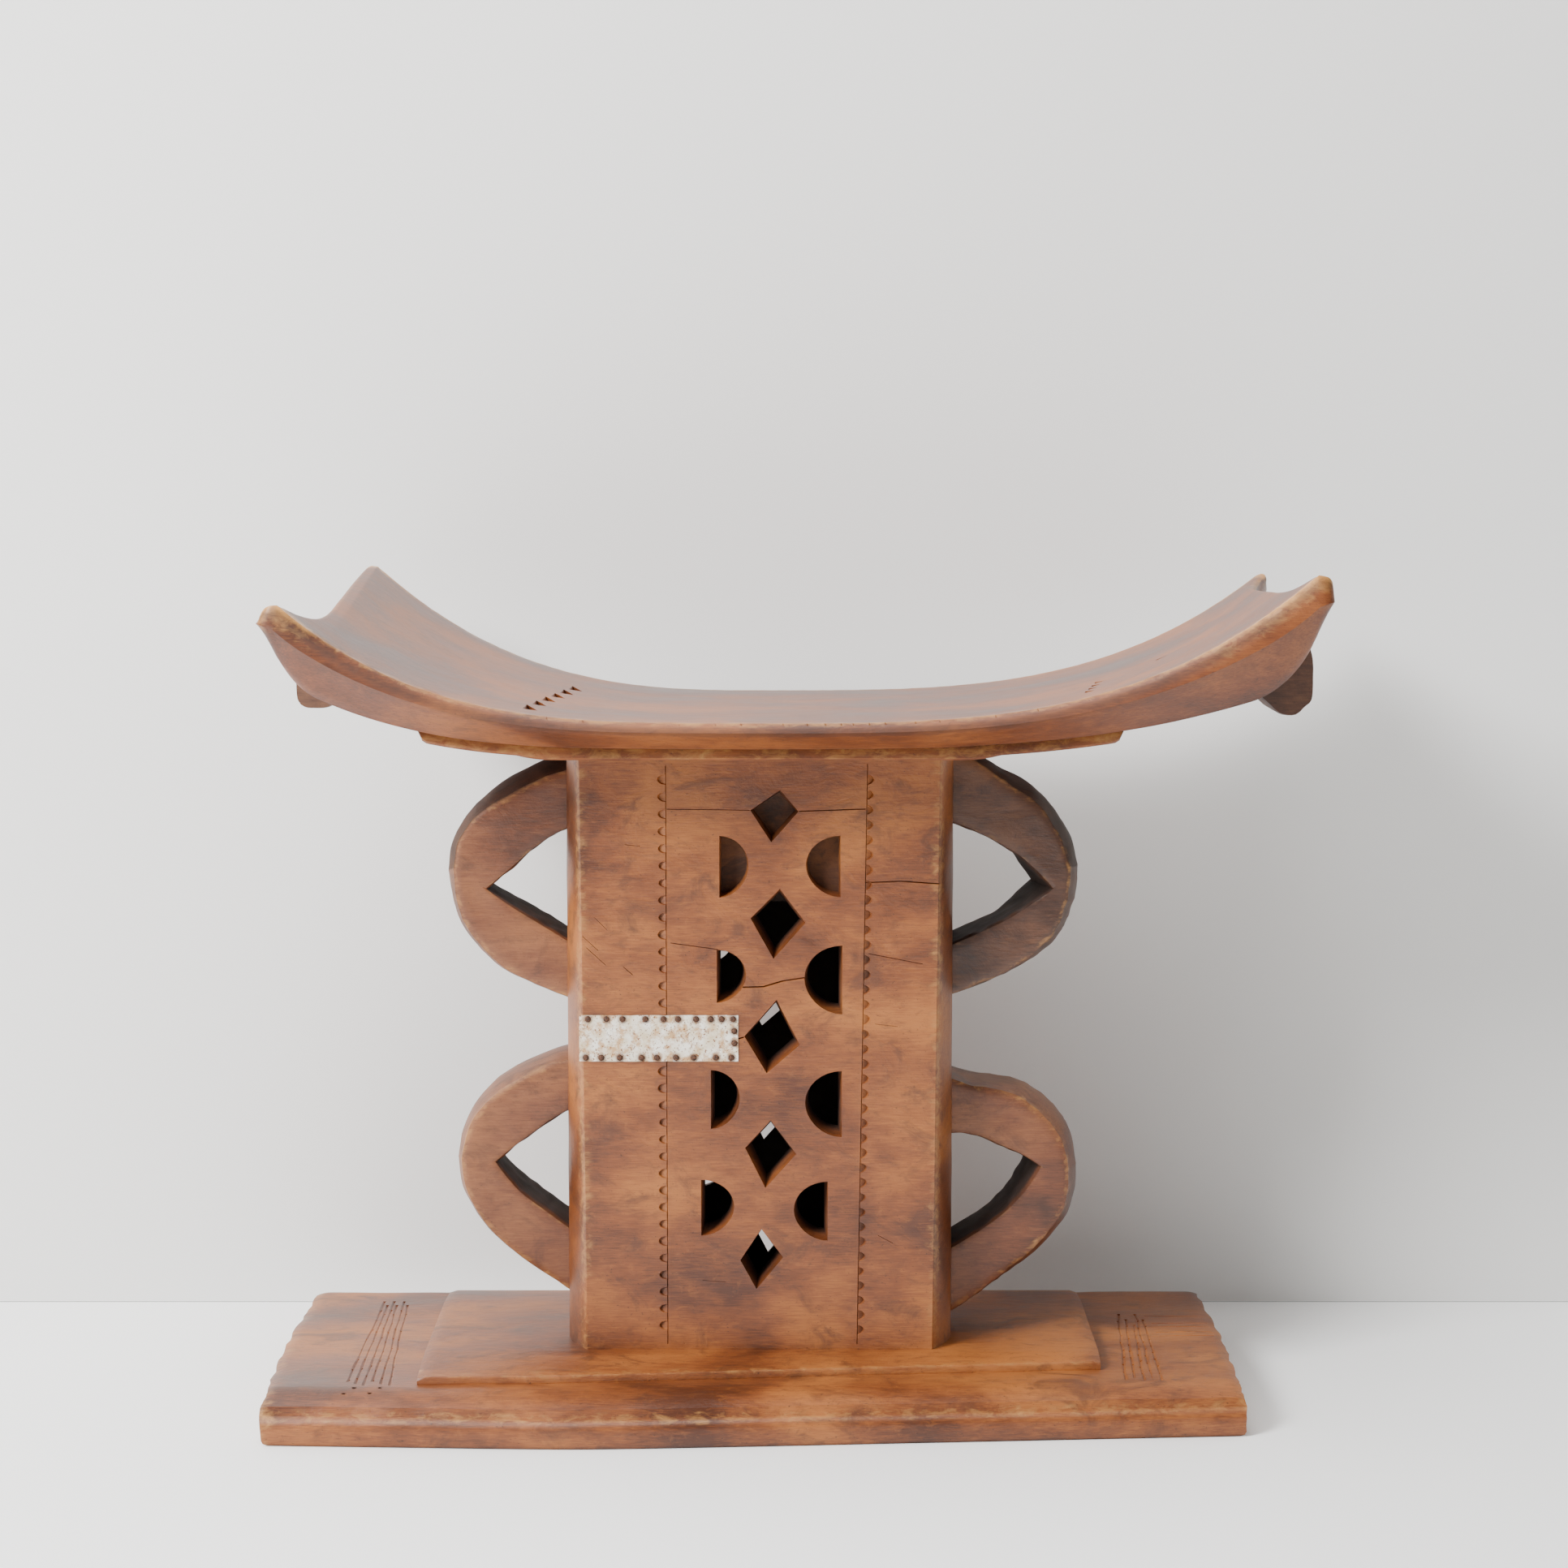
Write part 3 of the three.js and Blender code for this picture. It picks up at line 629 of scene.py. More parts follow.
@dataclass
class Base:
    """The slab on the ground and the step on it."""

    finish: bpy.types.Material
    left: float = 258.0
    right: float = 253.0
    half_depth: float = 127.0
    crest_x: float = -97.0      # where the front edge comes furthest forward
    crest_ease: float = 30.0
    left_drop: float = 7.0      # how far back the front edge runs by each end
    right_drop: float = 25.0
    front_edge: float = 15.2    # height where the bevel starts, front and back
    back_edge: float = 17.2
    top: float = 26.0
    bevel: float = 24.0
    corner: float = 16.0
    step_left: float = -176.0
    step_right: float = 178.0
    step_top: float = 33.0
    step_edge: float = 29.6     # height of the step's upper edge
    mouth: Flat = (66.0, 35.0)

    def front(self, x: float) -> float:
        """Y of the slab's front edge, easing round its foremost point.

        Args:
            x: the place along the slab.

        Returns:
            Y.
        """
        off = x - self.crest_x
        drop, reach = ((self.left_drop, self.left + self.crest_x) if off < 0 else
                       (self.right_drop, self.right - self.crest_x))
        eased, full = (math.hypot(v, self.crest_ease) - self.crest_ease for v in (off, reach))
        return -self.half_depth + drop * eased / full

    def end_x(self, side: Side, y: float, z: float) -> float:
        """X of an end, which is bowed, rounded at the back and nibbled by the adze.

        Args:
            side: which end.
            y: depth on it.
            z: height on it.

        Returns:
            X.
        """
        reach = self.left if side is Side.LEFT else self.right
        share = y / self.half_depth
        inset = 3.0 * share**2
        front = self.front(side.value * (reach - 9))
        for radius, into in ((self.corner, y - (self.half_depth - self.corner)),
                             (1.2, front + 1.2 - y), (3.0, 3.0 - z)):
            if into > 0:
                inset += radius - math.sqrt(max(radius**2 - min(into, radius) ** 2, 0.0))
        inset += 2.4 * max(0.0, (z - 10) / 16) ** 2
        scallop = 1.3 * abs(math.sin(y / 11.5 + 0.5 * side.value)) ** 0.6
        nibble = 2.6 * abs(rough(0, y, z * 0.25, 12, side.value * 3.7)) + 1.0 * abs(
            rough(0, y, z, 3.6, side.value)) + (1.3 - scallop)
        return side.value * (reach - inset - nibble)

    def build_slab(self) -> bpy.types.Object:
        """Builds the slab as a fine net over its top, wrapped round its edges.

        Returns:
            The slab.
        """
        across = 150
        profile, counts = self.profile()
        limit = self.half_depth - 0.1
        rings = []
        for step in range(across + 1):
            share = 0.5 - 0.5 * math.cos(math.pi * step / across)
            ring = []
            for depth_share, z, inset in profile:
                x_mid = -self.left + share * (self.left + self.right)
                front = self.front(x_mid)
                y = front + inset + (self.half_depth - inset - front - inset) * depth_share
                x = (1 - share) * self.end_x(Side.LEFT, y, z) + share * self.end_x(
                    Side.RIGHT, y, z)
                edge = min(share, 1 - share) * (self.left + self.right)
                height = z - 1.2 * max(0.0, 1 - edge / 6) ** 2 * (z > 17)
                height -= 0.5 * (1 + rough(x, y, 0, 34, 1.3)) * (z > 12)
                push = 0.5 * rough(x, 0, z, 14, 5.1) if 0 < depth_share < 1 else 0.0
                ring.append((x, float(np.clip(y + push, -limit, limit)), max(height, 0.0)))
            rings.append(ring)
        slab = rings_piece("base_slab_wood", rings, lambda start: strip_cap(start, *counts))
        carve(slab, [self.hollow_cutter(), *self.scores()])
        smooth(slab)
        return slab

    def profile(self) -> tuple[list[Point], tuple[int, int, int]]:
        """Section of the slab, from the front of its foot round by the back.

        Returns:
            Share of the depth, height and inset from the edge of each point, and how many
            points run along the bottom, up the back and down the front.
        """
        front = [(0.0, 15.2, 4.4), (0.0, 14.4, 2.8), (0.0, 13.2, 1.5), (0.0, 11.6, 0.6),
                 (0.0, 9.5, 0.15), (0.0, 6.0, 0.0), (0.0, 2.6, 0.2), (0.0, 0.9, 0.7)]
        back = [(1.0, 2.0, 0.2), (1.0, 8.0, 0.0), (1.0, 14.4, 0.6), (1.0, 16.0, 1.6),
                (1.0, 17.0, 3.4)]
        bevel = self.bevel / (2 * self.half_depth)
        top = []
        for i in range(11):
            t = 0.18 + 0.82 * i / 11
            rise = (self.top - self.back_edge) * (1 - (1 - t) ** 1.8)
            top.append((1 - bevel * t, self.back_edge + rise, 0.0))
        top += [(1 - bevel - (1 - 2 * bevel) * i / 25, self.top, 0.0) for i in range(26)]
        for i in range(10, -1, -1):
            t = 0.25 + 0.75 * i / 11
            rise = (self.top - self.front_edge) * (1 - (1 - t) ** 1.9)
            top.append((bevel * t, self.front_edge + rise, 0.0))
        count = len(top)
        bottom = [(i / (count - 1), 0.0, 1.6) for i in range(count)]
        return bottom + back + top + front, (count, len(back), len(front))

    def hollow_cutter(self) -> bpy.types.Object:
        """The tool for the hollow that comes up through slab and step.

        Returns:
            The tool.
        """
        x, y = self.mouth
        ring = [(-x, -y), (x, -y), (x, y), (-x, y)]
        return rings_piece("hollow_tool", [[(a, b, -3.0) for a, b in ring],
                                           [(a, b, 60.0) for a, b in ring]])

    def scores(self) -> list[bpy.types.Object]:
        """Bands of lines scored with a knife across the slab's top near both ends.

        Returns:
            The tools.
        """
        bands = [(-212.0 + 4.4 * i, -212.5 + 2.8 * i, -108.0 + 5 * (i % 3), 84.0 - 9 * (i % 2))
                 for i in range(6)]
        bands += [(189.5 + 4.6 * i, 198.0 + 3.2 * i, -86.0 + 4 * (i % 2), 54.0 - 12 * (i % 3))
                  for i in range(5)]
        lines = []
        for number, (x_front, x_back, y_front, y_back) in enumerate(bands):
            lines += self.score(f"score{number}", (x_front, y_front), (x_back, y_back), number)
        for number, y in enumerate((6.0, 14.0, 25.6, 34.0, 49.5)):
            lines += self.score(f"score_b{number}", (212 + 3 * (number % 2), y), (246, y + 1),
                                20 + number)
        return lines

    def score(self, name: str, start: Flat, end: Flat, seed: int) -> list[bpy.types.Object]:
        """One shaky line scored in the slab's top, as a few short grooves end to end.

        Args:
            name: start of the tools' names.
            start, end: X and Y of the line's ends.
            seed: makes its shake its own.

        Returns:
            The tools.
        """
        parts, cuts, line = 9, [], []
        for i in range(parts + 1):
            t = i / parts
            x, y = (a + (b - a) * t for a, b in zip(start, end))
            x += 0.9 * rough(0, y, x, 16, 1.9 + seed)
            into = self.front(x) + self.bevel - y
            drop = 10.8 * max(0.0, into / self.bevel) ** 1.9
            line.append((x, y, 25.3 - drop))
        for i, (a, b) in enumerate(zip(line, line[1:])):
            fade = 0.5 + 0.5 * math.sin(math.pi * (i + 0.5) / parts)
            cuts.append(groove(f"{name}_{i}", a, b, 2.0 + 0.9 * fade, 0.25 + 0.25 * fade,
                               (0, 0, 1)))
        return cuts

    def build_step(self) -> bpy.types.Object:
        """Builds the step, whose front edge runs back a little to the right.

        Returns:
            The step.
        """
        steps, foot, flat, column = 90, self.top - 1, 56, 53
        rings = []
        for i in range(steps + 1):
            t = i / steps
            x = self.step_left + (self.step_right - self.step_left) * t
            share = 0.914 + (0.44 - 0.914) * t
            front = -column + share * (self.front(x) + self.bevel + column)
            front += abs(0.7 * rough(x, 0, 0, 16, 8.2))
            back = column + 0.84 * (self.half_depth - self.bevel - column)
            lip = 1.2 if i in (0, steps) else 0.0
            edge, top = self.step_edge - lip, self.step_top - lip
            ring = [(x, front, foot), (x, front, edge - 1), (x, front + 0.6, edge)]
            slopes: tuple[list[Point], list[Point]] = ([], [])
            for j in range(1, 9):
                s = j / 9
                z = edge + 0.1 + 3.1 * (1 - (1 - s) ** 1.5)
                slopes[0].append((x, front + 0.6 + (-flat - front - 0.6) * s, z))
                slopes[1].append((x, back - 0.6 + (flat - back + 0.6) * s, z))
            ring += slopes[0] + [(x, -flat, top), (x, 0, top), (x, flat, top)]
            ring += slopes[1][::-1]
            ring += [(x, back - 0.6, edge), (x, back, edge - 1), (x, back, foot), (x, 0, foot)]
            rings.append(ring)
        step = rings_piece("base_step_wood", rings)
        carve(step, [self.hollow_cutter()])
        smooth(step)
        return step

    def build(self) -> None:
        """Builds and dresses the slab and the step."""
        slab, step = self.build_slab(), self.build_step()

        def slab_wear(x: float, y: float, z: float) -> float:
            """Rubbed pale along the front arris and at the nibbled ends.

            Args:
                x, y, z: the place, in the carver's millimetres.

            Returns:
                The amount.
            """
            arris = math.exp(-((z - 14.0) / 1.6) ** 2) * (y < self.front(x) + 5)
            ends = max(0.0, (abs(x) - 244) / 14)
            return 0.4 * arris * (0.6 + 0.4 * rough(x, 0, 0, 9, 2)) + 0.3 * ends

        def step_wear(x: float, y: float, z: float) -> float:
            """Rubbed pale along the step's upper edge."""
            return 0.22 * math.exp(-((z - 29.4) / 0.9) ** 2)

        def slab_painted_shade(x: float, y: float, z: float) -> float:
            """Painted shade in the hollow, and a little painted shade underfoot."""
            inside = abs(x) < self.mouth[0] + 0.5 and abs(y) < self.mouth[1] + 0.5
            return 0.75 if inside else 0.25 * (z < 1.0)

        # both pieces get painted shade in the hollow, and the slab at its foot
        for piece, wear in ((slab, slab_wear), (step, step_wear)):
            paint(piece, "wear", wear)
            paint(piece, "stain_and_shade", slab_painted_shade)
        dress(slab, self.finish, "carved_wood", "base_slab")
        dress(step, self.finish, "carved_wood", "base_step")


# ---------------------------------------------------------------- column


@dataclass
class Column:
    """The hollow, pierced column with its scribed and notched borders."""

    finish: bpy.types.Material
    foot: float = 33.0
    top: float = 348.0
    half_depth: float = 53.0
    flank: float = 101.7
    flank_flat: float = 24.0    # half the width of the flat down each flank
    corner_round: float = 1.2
    cavity: Point = (66.0, 35.0, 268.0)
    blind: float = 11.0         # depth of a piercing that stops inside the wood
    back_rise: float = 4.0
    left_line: float = -48.6
    right_line: Flat = (51.1, 56.0)     # X at its lower end and its upper
    through: tuple[tuple[str, Flat], ...] = (
        ("diamond2", (-3.5, 6.8)), ("diamond3", (-1.9, 4.7)), ("diamond4", (5.1, -4.4)),
        ("moon1", (-6.5, 6.0)), ("moon3", (-4.0, 5.0)))
    diamonds: tuple[tuple[Flat, Flat, Flat, Flat], ...] = (
        ((10.6, 328.8), (20.5, 317.4), (6.1, 301.0), (-5.0, 318.0)),
        ((10.6, 277.2), (24.1, 259.3), (7.2, 239.9), (-4.9, 261.6)),
        ((8.9, 219.0), (21.2, 194.9), (3.6, 179.7), (-8.2, 199.5)),
        ((5.7, 155.4), (19.3, 137.3), (2.9, 118.9), (-7.8, 140.6)),
        ((0.8, 97.7), (12.5, 82.4), (-1.8, 65.0), (-10.4, 80.8)),
    )
    left_moons: tuple[Point, ...] = ((-21.0, 289.2, 31.2), (-22.4, 231.8, 26.8),
                                     (-25.6, 166.8, 30.1), (-30.8, 109.4, 28.7))
    right_moons: tuple[Point, ...] = ((42.2, 289.4, 31.1), (43.2, 229.9, 35.1),
                                      (43.0, 164.4, 33.9), (35.7, 107.6, 30.4))
    moon_bulges: tuple[float, ...] = (15.4, 15.5, 15.3, 17.6, 18.2, 20.0, 19.4, 18.0)
    cracks: tuple[tuple[Flat, Flat, float], ...] = (
        ((-48, 318.5), (-5, 318.0), 0.6), ((20.5, 317.4), (55, 318.6), 0.9),
        ((55, 280.2), (74, 280.9), 0.9), ((74, 280.9), (95, 279.4), 1.1),
        ((-8.8, 225.3), (2, 225.6), 1.3), ((2, 225.6), (12, 228.6), 1.5),
        ((12, 228.6), (25, 230.6), 1.1), ((-46.4, 248.6), (-21.5, 245.1), 0.6),
        ((-8.2, 199), (-11.0, 198.2), 1.3), ((56.6, 243), (84.9, 237.5), 0.5),
        ((-92, 252), (-84, 244.6), 0.35), ((-90, 246), (-80, 236.8), 0.35),
        ((-86, 262), (-79, 255.2), 0.3), ((-71, 236), (-66, 231.8), 0.5),
        ((62, 94), (70, 89.6), 0.4), ((-70, 300), (-62, 299.2), 0.35),
        ((60, 206), (72, 204.6), 0.3), ((-30, 70), (-18, 69.2), 0.35),
    )

    def corner(self, z: float) -> float:
        """X of the column's corner at a height, as the column widens a little upwards."""
        return 94.5 - 3.0 * (self.top - z) / (self.top - self.foot)

    def build_block(self) -> bpy.types.Object:
        """Builds the solid block with its swollen flanks and softened corners.

        Returns:
            The block.
        """
        rings, rows, foot = [], 64, self.foot - 0.4
        far = self.half_depth - self.corner_round
        for row in range(rows + 1):
            z = foot + (self.top - foot) * row / rows
            corner = self.corner(z)
            ring: list[Point] = []
            for face in Face:
                for i in range(-16, 17):
                    x = -face.value * (corner - 1.1) * i / 16
                    y = face.value * (self.half_depth - 0.15 + 0.15 * rough(x, 0, z, 28, 2.2))
                    ring.append((x, y, z))
                for j in range(13):
                    y = face.value * far * (1 - j / 6)
                    bulge = max(0.0, (abs(y) - self.flank_flat) / (far - self.flank_flat))
                    x = self.flank + (corner - self.flank) * bulge**1.5
                    x += 0.25 * rough(-face.value, y, z, 18, 4.4)
                    ring.append((-face.value * x, y, z))
            rings.append(ring)
        return rings_piece("column_wood", rings)

    def moon(self, x: float, z: float, height: float, bulge: float, side: Side) -> list[Flat]:
        """Outline of a half-moon with a slightly pointed lower end.

        Args:
            x: X of its straight side.
            z: height of its middle.
            height: its height.
            bulge: how far its curve stands out from the straight side.
            side: the side of the column that it is on.

        Returns:
            X and Z points.
        """
        points = []
        for step in range(17):
            turn = math.pi * (step / 16 - 0.5)
            sag = 1.4 * max(0.0, -math.sin(turn)) ** 3
            points.append((x - side.value * bulge * math.cos(turn),
                           z + height / 2 * math.sin(turn) - sag))
        return points

    def piercing(self, name: str, outline: Sequence[Flat], face: Face, is_blind: bool
                 ) -> bpy.types.Object:
        """Tapered tool for one piercing.

        At the back, only the piercings that light comes through go right through the wall.

        Args:
            name: the tool's name, such as diamond2.
            outline: its outline on the face.
            face: the face that it enters.
            is_blind: whether it stops inside the wood.

        Returns:
            The tool.
        """
        wall = self.half_depth - self.cavity[1]
        shift = (0.0, 0.0)
        if face is Face.BACK:
            shift = dict(self.through).get(name, (0.0, self.back_rise))
            is_blind = is_blind or name not in dict(self.through)
        depth = self.blind if is_blind else wall + 2
        shape = [(x + shift[0], z + shift[1]) for x, z in outline]
        outer = face.value * (self.half_depth + 1)
        inner = face.value * (self.half_depth - depth)
        taper = (3.4, 4.4) if name.startswith("diamond") else (1.9, 3.2)
        return prism(name, shape, outer, inner, (taper[0] * depth / wall, taper[1] * depth / wall))

    def tools(self) -> list[bpy.types.Object]:
        """All piercings of both faces, the hollow, notches, scribed lines and cracks.

        Returns:
            The tools.
        """
        made = []
        for face in Face:
            for i, diamond in enumerate(self.diamonds):
                made.append(self.piercing(f"diamond{i}", diamond, face, i == 0))
            moons = [(m, Side.LEFT) for m in self.left_moons]
            moons += [(m, Side.RIGHT) for m in self.right_moons]
            for i, ((x, z, height), side) in enumerate(moons):
                outline = self.moon(x, z, height, self.moon_bulges[i], side)
                made.append(self.piercing(f"moon{i}", outline, face, i % 4 == 0))
            made += self.borders(face)
        a, b, roof = self.cavity
        ring = [(-a, -b), (a, -b), (a, b), (-a, b)]
        made.append(rings_piece("cavity_tool", [[(x, y, 20.0) for x, y in ring],
                                                [(x, y, roof) for x, y in ring]]))
        for i, (start, end, width) in enumerate(self.cracks):
            made.append(groove(f"crack{i}", (start[0], -self.half_depth, start[1]),
                               (end[0], -self.half_depth, end[1]), width, 1.6, (0, -1, 0)))
        return made

    def borders(self, face: Face) -> list[bpy.types.Object]:
        """Scribed upright lines with a row of chip-carved notches beside each.

        Args:
            face: the face that they are cut on.

        Returns:
            The tools.
        """
        y = face.value * self.half_depth
        out = (0.0, float(face.value), 0.0)
        low, high = self.right_line
        made = [groove("line_left", (self.left_line, y, 341), (self.left_line + 0.3, y, 36),
                       1.0, 1.0, out),
                groove("line_right", (high, y, 342), (low, y, 36), 0.9, 1.0, out)]
        for side, pitch, count in ((Side.LEFT, 9.0, 33), (Side.RIGHT, 7.85, 38)):
            is_left = side is Side.LEFT
            for i in range(count):
                z = 334.0 - pitch * i
                under_plate = is_left and face is Face.FRONT and 184 < z < 213
                if under_plate:
                    continue
                line = self.left_line if is_left else low + (high - low) * (z - 34) / 302
                size = 1 + 0.22 * rough(i, 0, 0, 1.7, 6.1 * side.value)
                made.append(self.notch(f"notch_{face.name}{side.name}{i}", line, z, size,
                                       side, face))
        return made

    def notch(self, name: str, line: float, z: float, size: float, side: Side, face: Face
              ) -> bpy.types.Object:
        """Chip cut by a gouge: steep round its curve and rising again towards the line.

        The chips beside the right line were cut with a knife, so they are narrower and
        come to a blunt point.

        Args:
            name: the tool's name.
            line: X of the scribed line beside it.
            z: height of its middle.
            size: its size against the usual one.
            side: the line's side of the column.
            face: the face that it is cut on.

        Returns:
            The tool.
        """
        y = face.value * self.half_depth
        out = face.value
        is_left = side is Side.LEFT
        reach, half, power = (4.6, 2.9, 1.0) if is_left else (3.7, 3.0, 0.72)
        rim, deep = [], []
        for i in range(9):
            turn = math.pi * (i / 8 - 0.5)
            across = math.cos(turn) ** (1 / power)
            x = line + side.value * (reach * size * across - 0.2)
            rise = half * size * math.sin(turn)
            rim.append((x + side.value * 0.15, y + out * 0.5, z + rise))
            deep.append((line + side.value * (reach * size * across * 0.8 - 0.2),
                         y - out * (0.35 + 1.5 * across), z + rise * 0.78))
        return rings_piece(name, [rim, deep])

    def build(self) -> None:
        """Builds, carves and dresses the column."""
        block = self.build_block()
        carve(block, self.tools())
        smooth(block)

        def wear(x: float, y: float, z: float) -> float:
            """Rubbed pale at the front corners."""
            edge = abs(abs(x) - self.corner(z))
            return 0.3 * math.exp(-(edge / 1.5) ** 2) * (abs(y) > 49)

        def stain_and_shade(x: float, y: float, z: float) -> float:
            """Painted shade inside the hollow and down in every piercing and notch, darker the
            deeper it lies, and dark stripes on the left flank.

            Args:
                x, y, z: the place, in the carver's millimetres.

            Returns:
                The amount.
            """
            depth = self.half_depth - abs(y)
            # dark stripes down the left flank
            if abs(x) > 88:
                return 0.35 * max(0.0, math.sin(x * 0.8 + 3)) * (20 < depth < 40) * (x < 0)
            # painted shade in the piercings near the top, darker with depth
            if abs(x) < 60 and z > 274 and depth < 14:
                return min(0.62, max(0.0, (depth - 0.2) / 9))
            # painted shade down every piercing, notch and crack, darker with depth
            shallow = min(0.3, max(0.0, (depth - 0.2) / 3.0))
            return shallow if depth < 2.4 else min(0.9, 0.3 + (depth - 2.4) / 30)

        paint(block, "wear", wear)
        paint(block, "stain_and_shade", stain_and_shade)
        dress(block, self.finish, "carved_wood", "column_head", "column_front_wall",
              "column_back_wall", "column_left_cheek", "column_right_cheek")


# ---------------------------------------------------------------- loop handles


@dataclass
class Loop:
    """One loop handle, crowned at mid-depth, with a hole that narrows to the back."""

    name: str
    node: str
    side: Side
    finish: bpy.types.Material
    outer: tuple[Flat, ...]     # the crown, as seen from the front
    edge: tuple[Flat, ...]      # the arris in front of and behind the crown
    hole: tuple[Flat, ...]      # the hole's edge at the front
    apex: int                   # number of the hole's furthest point
    crest: int                  # number of the crown's furthest point
    back_pull: float            # how far the hole's tip moves in by the back
    half_depth: float = 23.3
    arris: float = 0.9
    lumps: float = 0.3
    # painted shade on the crown, where the seat above shades the loop
    crown_shade: float = 0.2

    def halves(self, line: Sequence[Flat], middle: int, share: float) -> Flat:
        """Point on a line that reaches its middle point exactly half-way.

        Args:
            line: the line's points.
            middle: number of its furthest point.
            share: 0 at the upper root and 1 at the lower.

        Returns:
            X and Z.
        """
        if share <= 0.5:
            return along(line[:middle + 1], share * 2)
        return along(line[middle:], share * 2 - 1)

    def build(self) -> None:
        """Builds and dresses the loop as one bent bar with rounded arrises."""
        stations, rings, wear, stain_and_shade = 110, [], [], []
        d, r = self.half_depth, self.arris
        for i in range(stations + 1):
            share = i / stations
            crest = np.array(self.halves(self.outer, self.crest, share))
            edge = np.array(self.halves(self.edge, self.crest, share))
            inner = np.array(self.halves(self.hole, self.apex, share))
            back = inner.copy()
            back[0] -= self.side.value * self.back_pull * math.sin(math.pi * share) ** 6
            run = edge - inner
            width = max(float(np.linalg.norm(run)), 1e-6)
            run /= width
            ring: list[Point] = []

            def put(point: np.ndarray, y: float, worn: float = 0.0, painted_shade: float = 0.0,
                    lumpy: float = 1.0) -> None:
                """Adds a point, pushed in a little as a knife leaves it, with its wear.

                Args:
                    point: X and Z before the knife.
                    y: its depth.
                    worn: how rubbed it is.
                    painted_shade: how much painted shade it has.
                    lumpy: how much of the loop's unevenness it has.
                """
                lump = self.lumps * lumpy * abs(rough(point[0], y * 0.5, point[1], 11,
                                                      3.3 * self.side.value))
                ring.append((point[0] - run[0] * lump, y, point[1] - run[1] * lump))
                wear.append(worn)
                stain_and_shade.append(painted_shade)

            for k in range(11):
                t = k / 10
                p = inner + run * (r + (width - 2 * r) * t)
                flat = -d + 0.25 * (1 + rough(p[0], 0, p[1], 16, 7))
                # the face's edge by the hole gets a little painted shade
                put(p, flat + 0.35 * (k in (0, 10)), 0.18 * (k == 10) + 0.12 * (k == 0),
                    0.3 * (k == 0), 0.3)
            for k in range(13):
                t = k / 12
                y = (-d + 1.0) + 2 * (d - 1.0) * t
                bulge = max(0.0, 1 - (abs(y) / d) ** 2.2)
                # painted shade on the crown, fuller on the half nearer the seat
                painted_shade = self.crown_shade * (1.0 if share < 0.5 else 0.45)
                put(edge + (crest - edge) * bulge, y, 0.22 * (k in (0, 12)), painted_shade)
            far = edge - back
            length = max(float(np.linalg.norm(far)), 1e-6)
            for k in range(11):
                t = 1 - k / 10
                p = back + far / length * (r + (length - 2 * r) * t)
                put(p, d - 0.35 * (k in (0, 10)), 0.1 * (k == 0), 0.0, 0.3)
            for k in range(11):
                t = (k + 0.5) / 11
                y = d - 0.5 - 2 * (d - 0.5) * t
                base = back + (inner - back) * t
                mark = 0.7 * rough(base[0] * 0.5, y * 0.35, base[1] * 0.5, 3.2, 9.0)
                ring.append((base[0] + run[0] * mark, y, base[1] + run[1] * mark))
                wear.append(0.0)
                # the hole's wall takes painted shade, less by its front edge
                stain_and_shade.append(0.78 - 0.35 * (t > 0.9))
            rings.append(ring)
        loop = rings_piece(self.name, rings)
        store(loop, "wear", wear)
        store(loop, "stain_and_shade", stain_and_shade)
        smooth(loop, math.radians(34))
        dress(loop, self.finish, "carved_wood", self.node)


